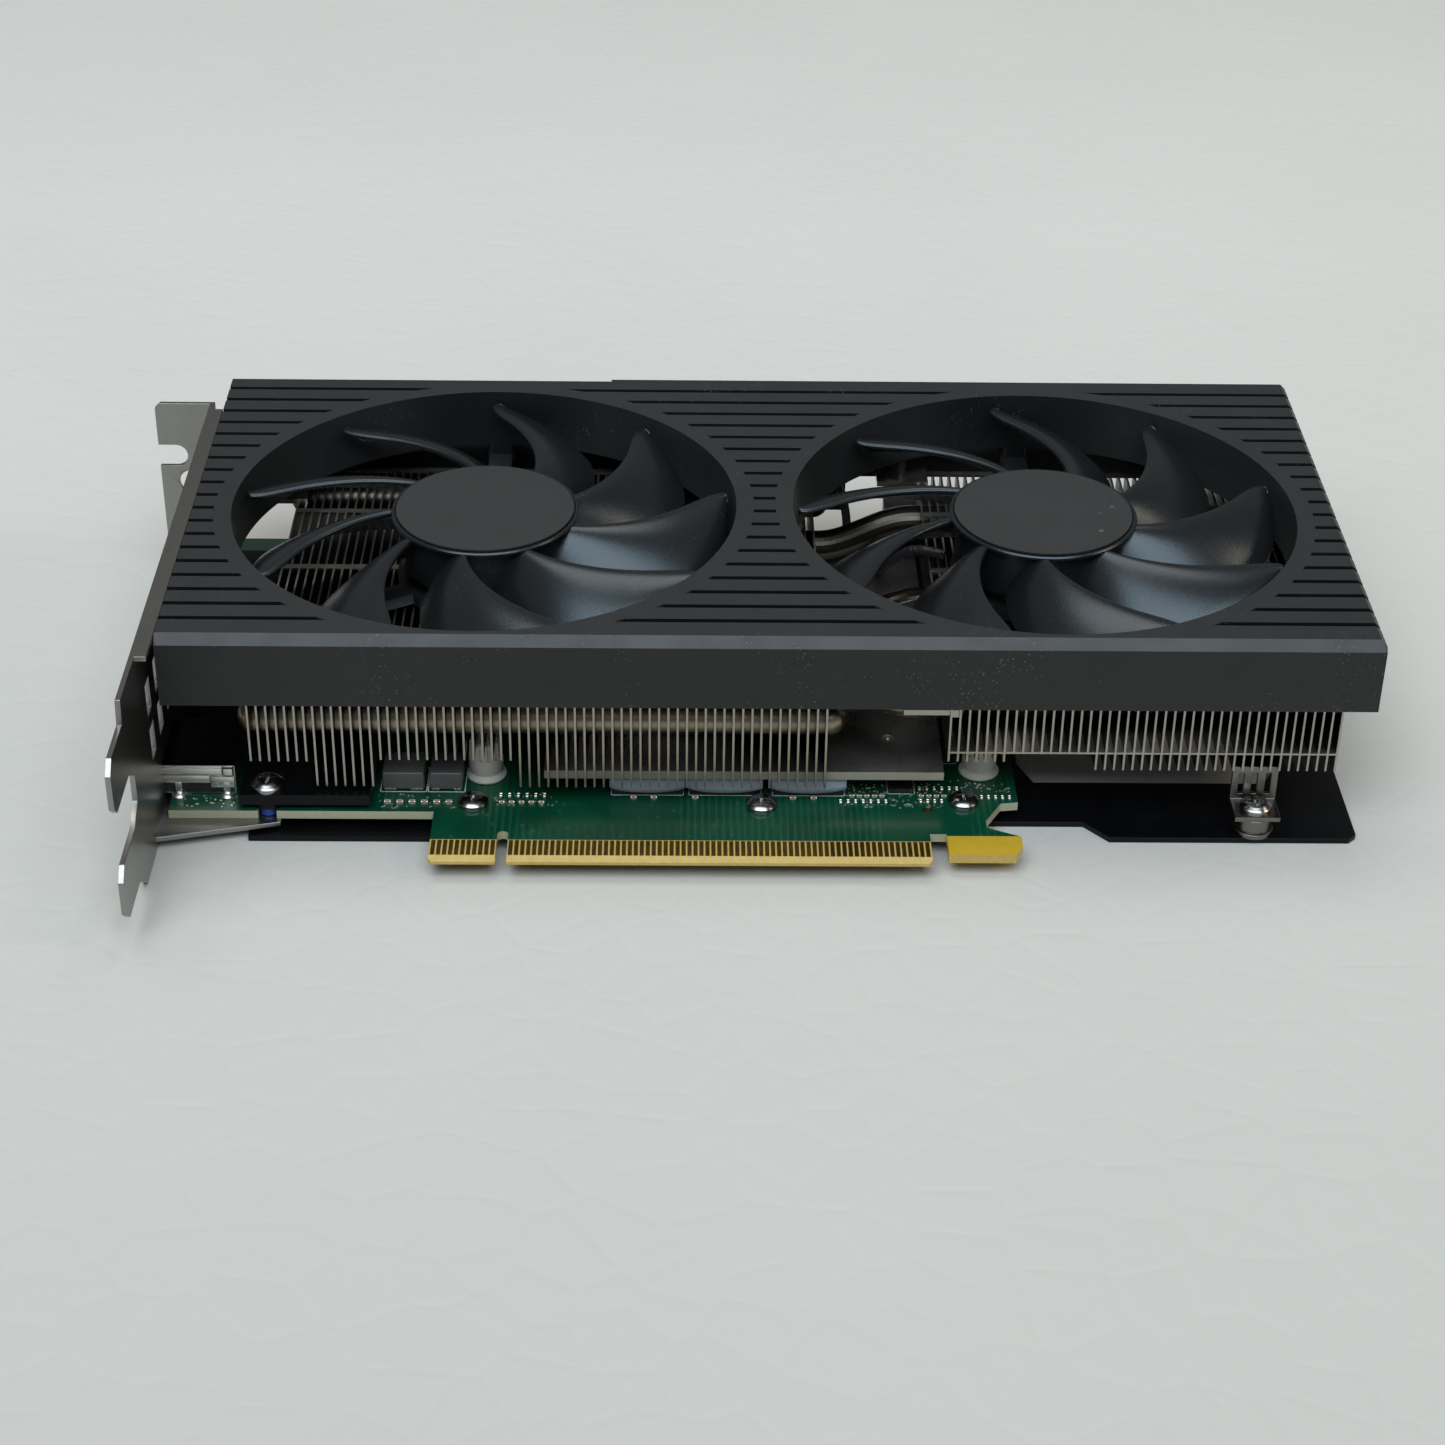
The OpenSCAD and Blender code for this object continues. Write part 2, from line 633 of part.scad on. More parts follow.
module hook_plating() {
    color([0.9, 0.75, 0.15]) at_datum() for (z = [0, -board_t - 0.06]) translate([0, 0, z])
        linear_extrude(0.06) polygon([[hook_x0, 1.9], [hook_x1 - 1.3, 1.9], [hook_x1, 4.6],
            [hook_x1, hook_top - 0.1], [hook_x0, hook_top - 0.1]]);
}

module gpu_package() {
    color([0.1, 0.22, 0.14]) at_datum() block(gpu_x - 18, gpu_x + 18, gpu_y - 16, gpu_y + 16, 0, 1.8);
}

module gpu_die() {
    color([0.3, 0.32, 0.36]) at_datum() block(gpu_x - 9, gpu_x + 9, gpu_y - 8, gpu_y + 8, 1.8, 2.6);
}

module memory_chips() {
    color([0.08, 0.08, 0.09]) at_datum() for (p = memory_at)
        block(p[0] - memory_size[1] / 2, p[0] + memory_size[1] / 2, p[1] - memory_size[0] / 2,
            p[1] + memory_size[0] / 2, 0, memory_h);
}

module choke(x, y, w) {
    block(x - w / 2, x + w / 2, y - 3.4, y + 3.4, 0, 3.6);
}

module chokes() {
    color([0.3, 0.3, 0.32]) at_datum() {
        choke(-17.8, 23.8, 7.2);
        choke(-10.4, 23.8, 5.6);
        for (i = [0:4]) choke(-17.8, 42 + i * 11, 7);
    }
}

module power_stages() {
    color([0.09, 0.09, 0.1]) at_datum() for (i = [0:4]) {
        block(-9.6, -4.6, 39.5 + i * 11, 44.5 + i * 11, 0, 0.9);
        block(-29, -24, 39.5 + i * 11, 44.5 + i * 11, 0, 0.9);
    }
}

// Moulded can capacitor on its seat
module can_capacitor(x, y, h) {
    rod(x, y, 0, 1.2, 3.5);
    rod(x, y, 1.2, h, 3);
}

module polymer_capacitors() {
    color([0.82, 0.79, 0.72]) at_datum() {
        can_capacitor(-3.8, 25.6, 7.6);
        can_capacitor(82, 27.4, 7.6);
        for (i = [0:3]) can_capacitor(-1, 47 + i * 11, 3.4);
    }
}

// Rows of surface-mount resistors and capacitors
module chip_row(x, y, count, pitch, size) {
    for (i = [0:count - 1])
        block(x + i * pitch, x + i * pitch + size[0], y, y + size[1], 0, size[2]);
}

module small_parts() {
    color([0.62, 0.52, 0.4]) at_datum() {
        chip_row(-1.2, 16.4, 5, 1.7, [1, 0.5, 0.5]);
        chip_row(-1.2, 18.2, 6, 1.5, [0.5, 1, 0.5]);
        chip_row(21.3, 18.1, 2, 3.5, [1.1, 0.6, 0.5]);
        chip_row(31.9, 18.1, 1, 1, [1.1, 0.6, 0.5]);
        chip_row(48.7, 18.1, 2, 3.6, [1.1, 0.6, 0.5]);
        chip_row(57.2, 16.9, 7, 1.3, [0.45, 0.9, 0.45]);
        chip_row(59, 18.9, 5, 1.3, [0.9, 0.45, 0.45]);
        chip_row(71, 17.1, 4, 1.2, [0.45, 0.9, 0.45]);
        chip_row(71, 21, 6, 1.3, [0.45, 0.9, 0.45]);
        chip_row(71, 19, 4, 1.3, [0.9, 0.45, 0.45]);
        chip_row(81.6, 18.4, 5, 1.2, [0.45, 0.9, 0.45]);
        chip_row(-20.8, 16.2, 6, 2.1, [1.2, 0.7, 0.6]);
    }
}

module control_chips() {
    color([0.07, 0.07, 0.08]) at_datum() {
        block(66, 70.1, 20.4, 24.1, 0, 0.8);
        block(73, 78, 30, 35, 0, 0.9);
        block(-8, -2.5, 96, 101.5, 0, 0.9);
    }
}

/* Ports */

// Metal shell of a socket that opens towards -X, with its tongue
module port(y, w, h) {
    x0 = bracket_x - 0.6;
    x1 = bracket_x + port_in;
    difference() {
        block(x0, x1, y - w / 2, y + w / 2, port_z, port_z + h);
        block(x0 - 1, x1 - 1.2, y - w / 2 + sheet_t, y + w / 2 - sheet_t, port_z + sheet_t,
            port_z + h - sheet_t);
    }
    block(x0 + 2, x1 - 1, y - w / 2 + 1.6, y + w / 2 - 1.6, port_z + h / 2 + 0.5, port_z + h / 2 + 1.3);
    for (dx = [4.5, port_in - 1.5], side = [-1, 1])
        block(bracket_x + dx, bracket_x + dx + 1, y + side * (w / 2 - 0.3) - 0.3,
            y + side * (w / 2 - 0.3) + 0.3, 0, port_z + 1);
}

module hdmi_port() {
    color([0.72, 0.72, 0.72]) at_datum() port(port_y[0], hdmi_w, hdmi_h);
}

module display_ports() {
    color([0.72, 0.72, 0.72]) at_datum() for (i = [1:3]) port(port_y[i], dp_w, dp_h);
}

// Eight-way power socket that opens over the far edge
module power_socket() {
    wall = 0.9;
    color([0.07, 0.07, 0.08]) at_datum() difference() {
        union() {
            block(power_x - power_w / 2, power_x + power_w / 2, power_y0, power_y1, 0.1, power_h);
            block(power_x - 2, power_x + 2, power_y1 - 3, power_y1, power_h - eps, power_h + 0.8);
        }
        for (i = [-1.5:1.5], z = [2.8, 7.1])
            block(power_x + i * power_pitch - 1.6, power_x + i * power_pitch + 1.6, power_y0 + 2,
                power_y1 + 1, z - 1.6, z + 1.6);
    }
}

module power_pins() {
    color([0.8, 0.7, 0.4]) at_datum() for (i = [-1.5:1.5], z = [2.8, 7.1])
        block(power_x + i * power_pitch - 0.55, power_x + i * power_pitch + 0.55, power_y0 + 2,
            power_y1 - 3.2, z - 0.55, z + 0.55);
}

/* Bracket */

module bracket_outline() {
    polygon([[screw_tab_y, bracket_z0], [screw_tab_y, bracket_z1], [-6, bracket_z1], [-6.8, bracket_z1 - 4.15],
        [-16.4, tongue_z + slot_pitch + tongue_w], [tongue_tip_y, tongue_z + slot_pitch + tongue_w - 2.2],
        [tongue_tip_y, tongue_z + slot_pitch + 1.8], [-16.6, tongue_z + slot_pitch],
        [-6, tongue_z + slot_pitch], [-2, tongue_z + slot_pitch - 2.6], [-2, tongue_z + tongue_w + 2.6],
        [-6, tongue_z + tongue_w], [-16.4, tongue_z + tongue_w], [tongue_tip_y, tongue_z + tongue_w - 2.2],
        [tongue_tip_y, tongue_z + 1.8], [-16.6, tongue_z], [-6.8, tongue_z], [-1.5, bracket_z0]]);
}

module bracket_openings() {
    for (i = [0:3]) let (w = (i == 0 ? hdmi_w : dp_w) + 0.6, h = (i == 0 ? hdmi_h : dp_h) + 0.6)
        translate([port_y[i] - w / 2, port_z - 0.3]) square([w, h]);
    for (row = [0:1], i = [0:10])
        translate([12.6 + i * 7.9, 11 + row * 8.6]) square([3.6, 6]);
}

module slot_bracket() {
    hole_z = tongue_z + slot_pitch / 2 + tongue_w / 2 + 2.8;
    color([0.62, 0.62, 0.6]) at_datum() {
        along_x(bracket_x, bracket_in) difference() {
            bracket_outline();
            bracket_openings();
        }
        block(bracket_x, shroud_x0 - 0.1, 7.2, screw_tab_y - 3, bracket_z1 - bracket_t, bracket_z1);
        translate([0, screw_tab_y, 0]) along_y(-bracket_t, 0) difference() {
            polygon([[bracket_in, bracket_z0], [bracket_in, bracket_z1], [card_x0 + 1, bracket_z1],
                [card_x0, bracket_z1 - 1], [card_x0, bracket_z0 + 1], [card_x0 + 1, bracket_z0]]);
            for (z = [3.38, 3.38 + slot_pitch]) {
                translate([card_x0 - 1, z - 2.21]) square([4.2, 4.42]);
                translate([card_x0 + 3.2, z]) circle(r = 2.21);
            }
            translate([bracket_x - 4.7, hole_z]) circle(r = 2.4);
        }
        difference() {
            translate([0, 0, -board_t - bracket_t - 0.02]) linear_extrude(bracket_t)
                polygon([[bracket_in - 0.2, 8], [-38.2, 13], [-38.2, 21], [bracket_in - 0.2, 21]]);
            rod(plate_screw[0], plate_screw[1], -5, 1, 1.1);
        }
        difference() {
            block(bracket_in - 0.2, -39.6, 91.4, 99.6, -board_t - bracket_t - 0.02, -board_t - 0.02);
            rod(rear_tab_screw[0], rear_tab_screw[1], -5, 1, 1.1);
        }
    }
}

module bracket_screws() {
    color([0.45, 0.45, 0.47]) at_datum() {
        pan_screw(plate_screw[0], plate_screw[1], 3, 2.9, 1.08, 6);
        pan_screw(rear_tab_screw[0], rear_tab_screw[1], 0, 2.6, 1.08, 3.1);
    }
}

// Black stiffener over the power parts, held by the bracket's front screw
module front_plate() {
    color([0.1, 0.1, 0.11]) at_datum() difference() {
        union() {
            block(-45.2, -22.9, 14.3, 21.5, 1, 3);
            block(-45.2, -33.5, 21.4, 36, 1, 3);
            rod(plate_screw[0], plate_screw[1], 0.02, 1.2, 3);
            rod(-26, 19.4, 0.02, 1.2, 1.6);
        }
        rod(plate_screw[0], plate_screw[1], -1, 4, 1.3);
    }
}

/* Backplate */

module backplate_outline() {
    difference() {
        polygon([[board_x0 + 13.7, 11], [-12.6, 11], [-12.6, 16.4], [99.4, 16.4], [103.4, 11.8],
            [144.5, 11.8], [145.9, 13.2], [145.9, 108.5], [144.5, board_y1], [-43.6, board_y1],
            [-43.6, 98], [board_x0, 98], [board_x0, 24], [board_x0 + 13.7, 24]]);
        polygon([[92, 28.8], [132.5, 28.8], [136.5, 34.8], [136.5, 90], [132.5, 96], [92, 96], [89.6, 90],
            [89.6, 34.8]]);
        for (p = cooler_screw_at) translate(p) circle(r = 4.2);
        for (p = board_screw_at) if (p[1] > 20) translate(p) circle(r = 1.3);
        translate(post_at) circle(r = 1.3);
    }
}

module backplate() {
    color([0.09, 0.09, 0.1]) at_datum()
        translate([0, 0, back_bottom]) linear_extrude(back_t) backplate_outline();
}

module standoffs() {
    color([0.6, 0.6, 0.58]) at_datum() for (p = board_screw_at) if (p[1] > 20) difference() {
        rod(p[0], p[1], back_top, -board_t, 2.6);
        rod(p[0], p[1], -5, 1, 1.1);
    }
}

module plate_screws() {
    color([0.45, 0.45, 0.47]) at_datum() for (p = board_screw_at)
        pan_screw(p[0], p[1], 0.02, 2.65, 1.05, p[1] > 20 ? 3.9 : 2.6);
}

module cooler_screws() {
    color([0.55, 0.55, 0.56]) at_datum() for (p = cooler_screw_at)
        translate([p[0], p[1], -2.7]) rotate([180, 0, 0]) pan_screw(0, 0, 0, 2.6, 1.1, 6);
}

module spring_washers() {
    color([0.7, 0.7, 0.7]) at_datum() for (p = cooler_screw_at) difference() {
        rod(p[0], p[1], -2.68, -board_t - 0.02, 2.4);
        rod(p[0], p[1], -4, 0, 1.4);
    }
}

/* Tail support */

module tail_strap() {
    x0 = post_at[0] - 3.9;
    x1 = post_at[0] + 3.9;
    color([0.68, 0.67, 0.64]) at_datum() difference() {
        union() {
            block(x0, x1, 11.6, 18.3, 0.4, 1.2);
            block(x0, x1, 17.5, 18.3, 0.4, 7.6);
            block(x0, x1, 17.5, 26, 6.9, 7.7);
        }
        for (dx = [-2.3, 0, 2.3])
            block(post_at[0] + dx - 0.5, post_at[0] + dx + 0.5, 17, 19, 2.2, 6.4);
        rod(post_at[0], post_at[1], -1, 3, 1.3);
    }
}

module tail_post() {
    color([0.66, 0.65, 0.62]) at_datum() difference() {
        union() {
            rod(post_at[0], post_at[1], back_top, 0.38, 2.8);
            rod(post_at[0], post_at[1], back_top, back_top + 0.9, 3.4);
            rod(post_at[0], post_at[1], back_top + 1.3, 0.38, 3.2);
        }
        rod(post_at[0], post_at[1], -5, 3, 1.1);
    }
}

module tail_screw() {
    color([0.5, 0.5, 0.5]) at_datum() pan_screw(post_at[0], post_at[1], 1.22, 2.7, 1.05, 4);
}

shroud();
shroud_screws();
fan_rotor(fan_left_x, 20.5);  // fan_rotor_left
hub_cap(fan_left_x);  // hub_cap_left
rotor_magnet(fan_left_x);  // rotor_magnet_left
fan_shaft(fan_left_x);  // fan_shaft_left
fan_rotor(fan_right_x, 26.5);  // fan_rotor_right
hub_cap(fan_right_x);  // hub_cap_right
rotor_magnet(fan_right_x);  // rotor_magnet_right
fan_shaft(fan_right_x);  // fan_shaft_right
fan_frame(fan_left_x);  // fan_frame_left
fan_bearing(fan_left_x);  // fan_bearing_left
stator(fan_left_x);  // stator_left
motor_board(fan_left_x);  // motor_board_left
fan_frame(fan_right_x);  // fan_frame_right
fan_bearing(fan_right_x);  // fan_bearing_right
stator(fan_right_x);  // stator_right
motor_board(fan_right_x);  // motor_board_right
fan_screws();
fan_lead_left();
fan_lead_right();
fan_headers();
fin_stack_left();
fin_stack_right();
base_plate();
cold_plate();
thermal_pads();
heat_pipe_left(left_pipe_y[0]);  // heat_pipe_left_front
heat_pipe_left(left_pipe_y[1]);  // heat_pipe_left_rear
heat_pipe_tail(0);  // heat_pipe_tail_front
heat_pipe_tail(1);  // heat_pipe_tail_middle
heat_pipe_tail(2);  // heat_pipe_tail_rear
circuit_board();
edge_contacts();
hook_plating();
gpu_package();
gpu_die();
memory_chips();
chokes();
power_stages();
polymer_capacitors();
small_parts();
control_chips();
hdmi_port();
display_ports();
power_socket();
power_pins();
slot_bracket();
bracket_screws();
front_plate();
backplate();
standoffs();
plate_screws();
cooler_screws();
spring_washers();
tail_strap();
tail_post();
tail_screw();
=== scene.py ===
"""A two-slot, two-fan graphics card lying on its backplate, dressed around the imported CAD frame."""
import json
import math
import random

import bmesh
import bpy
from mathutils import Matrix, Vector


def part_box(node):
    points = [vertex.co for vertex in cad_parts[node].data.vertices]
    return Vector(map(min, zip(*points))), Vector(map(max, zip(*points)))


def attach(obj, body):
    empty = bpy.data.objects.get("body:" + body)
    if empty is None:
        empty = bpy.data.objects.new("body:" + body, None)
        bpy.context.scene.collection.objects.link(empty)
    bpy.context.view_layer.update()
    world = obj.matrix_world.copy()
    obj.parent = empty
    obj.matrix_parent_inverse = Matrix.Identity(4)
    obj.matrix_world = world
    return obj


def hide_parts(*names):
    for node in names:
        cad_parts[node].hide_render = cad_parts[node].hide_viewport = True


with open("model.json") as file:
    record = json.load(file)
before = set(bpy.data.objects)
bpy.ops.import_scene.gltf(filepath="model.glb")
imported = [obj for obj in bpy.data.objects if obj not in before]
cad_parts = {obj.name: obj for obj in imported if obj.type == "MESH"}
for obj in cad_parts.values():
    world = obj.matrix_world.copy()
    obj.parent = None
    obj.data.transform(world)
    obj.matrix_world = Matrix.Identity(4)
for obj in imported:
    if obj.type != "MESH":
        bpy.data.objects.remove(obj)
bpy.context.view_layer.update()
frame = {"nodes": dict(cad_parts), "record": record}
MM = 0.001

# ---------------------------------------------------------------- camera, light and floor

# Fitted to the photograph: place in metres, angles in degrees, lens in millimetres
CAMERA_AT = (-0.00809, -0.43306, 0.27837)
CAMERA_YAW, CAMERA_PITCH, CAMERA_ROLL = 0.969, -32.538, 0.839
CAMERA_LENS = 70.82


def make_camera():
    yaw, pitch, roll = (math.radians(a) for a in (CAMERA_YAW, CAMERA_PITCH, CAMERA_ROLL))
    ahead = Vector((math.sin(yaw) * math.cos(pitch), math.cos(yaw) * math.cos(pitch), math.sin(pitch)))
    level = Vector((math.cos(yaw), -math.sin(yaw), 0))
    upright = level.cross(ahead)
    right = math.cos(roll) * level + math.sin(roll) * upright
    up = math.cos(roll) * upright - math.sin(roll) * level
    data = bpy.data.cameras.new("camera")
    data.lens = CAMERA_LENS
    data.clip_start, data.clip_end = 0.01, 20
    camera = bpy.data.objects.new("camera", data)
    bpy.context.scene.collection.objects.link(camera)
    turn = Matrix((right, up, -ahead)).transposed().to_4x4()
    camera.matrix_world = Matrix.Translation(CAMERA_AT) @ turn
    bpy.context.scene.camera = camera


def area_light(name, at, aim, size, power, colour):
    data = bpy.data.lights.new(name, "AREA")
    data.shape = "RECTANGLE"
    data.size, data.size_y = size
    data.energy, data.color = power, colour
    light = bpy.data.objects.new(name, data)
    light.location = at
    light.rotation_euler = (Vector(aim) - Vector(at)).to_track_quat("-Z", "Y").to_euler()
    bpy.context.scene.collection.objects.link(light)


def make_lights():
    area_light("front_overhead", (-0.1, -0.86, 1.38), (0, 0, 0), (1.9, 1.0), 25, (0.82, 0.92, 1.0))
    area_light("back_overhead", (-0.2, 0.45, 1.5), (0, 0, 0), (1.2, 0.8), 8, (1.0, 0.98, 0.93))
    area_light("warm_right", (0.95, -0.1, 0.7), (0, 0, 0.02), (0.3, 0.3), 1.6, (1.0, 0.82, 0.64))
    world = bpy.data.worlds.new("studio")
    world.use_nodes = True
    background = world.node_tree.nodes["Background"]
    background.inputs["Color"].default_value = (0.86, 0.9, 0.9, 1)
    background.inputs["Strength"].default_value = 0.17
    scene = bpy.context.scene
    scene.world = world
    scene.view_settings.view_transform = "Standard"
    scene.view_settings.look = "None"


# ---------------------------------------------------------------- node materials

class Material:
    """A Principled material with short calls for the nodes used here. Positions are in the row frame."""

    def __init__(self, name, base=(0.5, 0.5, 0.5), rough=0.5, metal=0.0, **sockets):
        self.data = bpy.data.materials.new(name)
        self.data.use_nodes = True
        self.tree = self.data.node_tree
        self.shader = self.tree.nodes["Principled BSDF"]
        self.shader.inputs["Base Color"].default_value = (*base, 1)
        self.shader.inputs["Roughness"].default_value = rough
        self.shader.inputs["Metallic"].default_value = metal
        for key, value in sockets.items():
            self.shader.inputs[key.replace("_", " ")].default_value = value
        self.place = self.add("ShaderNodeTexCoord").outputs["Object"]

    def add(self, kind, **settings):
        node = self.tree.nodes.new(kind)
        for key, value in settings.items():
            setattr(node, key, value)
        return node

    def feed(self, socket, value):
        if isinstance(value, bpy.types.NodeSocket):
            self.tree.links.new(value, socket)
        elif isinstance(value, tuple) and len(value) == 3 and socket.type == "RGBA":
            socket.default_value = (*value, 1)
        else:
            socket.default_value = value

    def math(self, operation, a, b=0.0):
        node = self.add("ShaderNodeMath", operation=operation)
        self.feed(node.inputs[0], a)
        self.feed(node.inputs[1], b)
        return node.outputs[0]

    def noise(self, scale, detail=2.0, rough=0.5, stretch=None):
        node = self.add("ShaderNodeTexNoise")
        node.inputs["Scale"].default_value = scale
        node.inputs["Detail"].default_value = detail
        node.inputs["Roughness"].default_value = rough
        self.feed(node.inputs["Vector"], self.stretched(stretch))
        return node.outputs["Fac"]

    def cells(self, scale, feature="F1", stretch=None, output="Distance"):
        node = self.add("ShaderNodeTexVoronoi", feature=feature)
        node.inputs["Scale"].default_value = scale
        self.feed(node.inputs["Vector"], self.stretched(stretch))
        return node.outputs[output]

    def stretched(self, stretch):
        if not stretch:
            return self.place
        node = self.add("ShaderNodeVectorMath", operation="MULTIPLY")
        self.feed(node.inputs[0], self.place)
        node.inputs[1].default_value = stretch
        return node.outputs[0]

    def axis(self, letter, of=None):
        node = self.add("ShaderNodeSeparateXYZ")
        self.feed(node.inputs[0], of or self.place)
        return node.outputs[letter]

    def normal(self, letter):
        return self.axis(letter, self.add("ShaderNodeNewGeometry").outputs["Normal"])

    def ramp(self, value, low, high, to_low=0.0, to_high=1.0):
        node = self.add("ShaderNodeMapRange", clamp=True)
        for socket, given in zip(("Value", "From Min", "From Max", "To Min", "To Max"),
                                 (value, low, high, to_low, to_high)):
            self.feed(node.inputs[socket], given)
        return node.outputs["Result"]

    def mix(self, share, a, b):
        node = self.add("ShaderNodeMix", data_type="RGBA")
        self.feed(node.inputs[0], share)
        self.feed(node.inputs[6], a)
        self.feed(node.inputs[7], b)
        return node.outputs[2]

    def colour(self, value):
        self.feed(self.shader.inputs["Base Color"], value)
        return self

    def roughness(self, value):
        self.feed(self.shader.inputs["Roughness"], value)
        return self

    def bump(self, height, depth, strength=1.0):
        node = self.add("ShaderNodeBump")
        node.inputs["Strength"].default_value = strength
        node.inputs["Distance"].default_value = depth
        self.feed(node.inputs["Height"], height)
        self.feed(self.shader.inputs["Normal"], node.outputs["Normal"])
        return self

    def dust(self, base, speck, scale, amount):
        """Fine pale specks over a colour, thicker in some places, as dust lying on plastic."""
        spots = self.ramp(self.cells(scale), 0.14, 0.24, 1.0, 0.0)
        where = self.ramp(self.noise(scale * 0.06, 4.0, 0.65), 0.62 - amount, 0.78 - amount)
        share = self.ramp(self.cells(scale, output="Color"), 0.45, 0.5)
        return self.mix(self.math("MULTIPLY", self.math("MULTIPLY", spots, where), share), base, speck)


def tone(base, factor):
    """A colour made darker or brighter."""
    return tuple(min(1, c * factor) for c in base)


def plastic(name, base, rough, grain=9000.0, depth=0.02 * MM, dusty=0.0, **sockets):
    """Cloudy matt plastic with a fine grain, dusty if wanted."""
    m = Material(name, base, rough, **sockets)
    cloud = m.mix(m.noise(55.0, 4.0), tone(base, 0.86), tone(base, 1.16))
    m.colour(m.dust(cloud, (0.34, 0.33, 0.3), 420.0, dusty) if dusty else cloud)
    m.roughness(m.ramp(m.noise(160.0, 3.0), 0.3, 0.7, rough - 0.05, rough + 0.06))
    return m.bump(m.noise(grain, 2.0, 0.6), depth).data


def metal(name, base, rough, brush=None, tint=0.1):
    """Bare metal with a faint stain; brush stretches the fine noise of its roughness."""
    m = Material(name, base, rough, 1.0)
    m.colour(m.mix(m.noise(75.0, 4.0), tone(base, 1 - tint), tone(base, 1 + tint)))
    m.roughness(m.ramp(m.noise(700.0, 3.0, 0.6, brush), 0.25, 0.75, rough - 0.04, rough + 0.07))
    return m.data


def shroud_plastic():
    """Dusty black plastic with painted shade on the near side and in the top's grooves.
    A circle round each fan keeps the painted groove shade off the openings' walls, which lie at the grooves'
    height."""
    m = Material("shroud_plastic", (0.016, 0.018, 0.0195), 0.5)
    cloud = m.mix(m.noise(34.0, 4.0), (0.0145, 0.0165, 0.0175), (0.0195, 0.022, 0.0235))
    low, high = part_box("shroud")
    opening_r, front_land, groove_depth = 47 * MM, 5.5 * MM, 1.3 * MM
    # mask of the top's grooves, which get painted shade
    cut = m.ramp(m.axis("Z"), high.z - 0.35 * MM, high.z - 0.55 * MM)
    for side in ("left", "right"):
        a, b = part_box(f"fan_rotor_{side}")
        dx = m.math("SUBTRACT", m.axis("X"), (a.x + b.x) / 2)
        dy = m.math("SUBTRACT", m.axis("Y"), (a.y + b.y) / 2)
        reach = m.math("ADD", m.math("MULTIPLY", dx, dx), m.math("MULTIPLY", dy, dy))
        cut = m.math("MULTIPLY", cut, m.ramp(reach, opening_r ** 2, (opening_r + 0.3 * MM) ** 2))
    land = low.y + front_land
    cut = m.math("MULTIPLY", cut, m.ramp(m.axis("Y"), land, land + 0.1 * MM))
    bottom = high.z - groove_depth
    cut = m.math("MULTIPLY", cut, m.ramp(m.axis("Z"), bottom, bottom + 0.1 * MM))
    # painted shade: faces turned towards the viewer are painted darker
    front = m.ramp(m.normal("Y"), -0.9, -0.98)
    cloud = m.mix(m.math("MULTIPLY", front, 0.7), cloud, (0.0015, 0.0016, 0.0022))
    # real dust over the colour that carries the painted front shade
    dusty = m.dust(cloud, (0.1, 0.098, 0.094), 1250.0, 0.11)
    # painted groove shade laid over the dusty plastic
    m.colour(m.mix(cut, dusty, (0.0015, 0.0016, 0.0018)))
    m.roughness(m.ramp(m.noise(150.0, 3.0), 0.3, 0.7, 0.4, 0.48))
    return m.bump(m.noise(4200.0, 2.0, 0.65), 0.03 * MM).data


def fan_plastic():
    """Satin black; the bluish tint on its reflections is painted light colour."""
    # the specular tint paints a bluish light colour into the reflections
    m = Material("fan_plastic", (0.009, 0.01, 0.011), 0.34, Specular_IOR_Level=0.62,
                 Specular_Tint=(0.76, 0.9, 1.0, 1.0))
    grain = m.noise(6500.0, 2.0, 0.7)
    cloud = m.mix(m.noise(90.0, 3.0), (0.008, 0.009, 0.0098), (0.0115, 0.0125, 0.0135))
    m.colour(m.dust(cloud, (0.1, 0.095, 0.09), 1500.0, 0.06))
    m.roughness(m.ramp(grain, 0.3, 0.7, 0.2, 0.3))
    return m.bump(grain, 0.014 * MM).data


def fin_metal():
    """Nickel on the fins' cut edges, with a painted highlight on their upward folds and painted shade on
    their broad sides.
    """
    m = Material("fins", (0.5, 0.47, 0.42), 0.34, 1.0)
    streak = m.noise(420.0, 3.0, 0.6, (1.0, 5.0, 1.0))
    # mask of the broad sides, which get painted shade between the fins
    side = m.ramp(m.math("ABSOLUTE", m.normal("X")), 0.7, 0.9)
    bright = m.mix(streak, (0.28, 0.265, 0.235), (0.52, 0.5, 0.45))
    # painted highlight on the upward faces
    bright = m.mix(m.ramp(m.normal("Z"), 0.8, 0.95), bright, (0.84, 0.81, 0.74))
    # the broad sides take a dark copy of the nickel as painted shade
    m.colour(m.mix(side, bright, m.mix(streak, (0.035, 0.031, 0.026), (0.07, 0.062, 0.053))))
    m.roughness(m.ramp(streak, 0.3, 0.7, 0.3, 0.42))
    return m.data


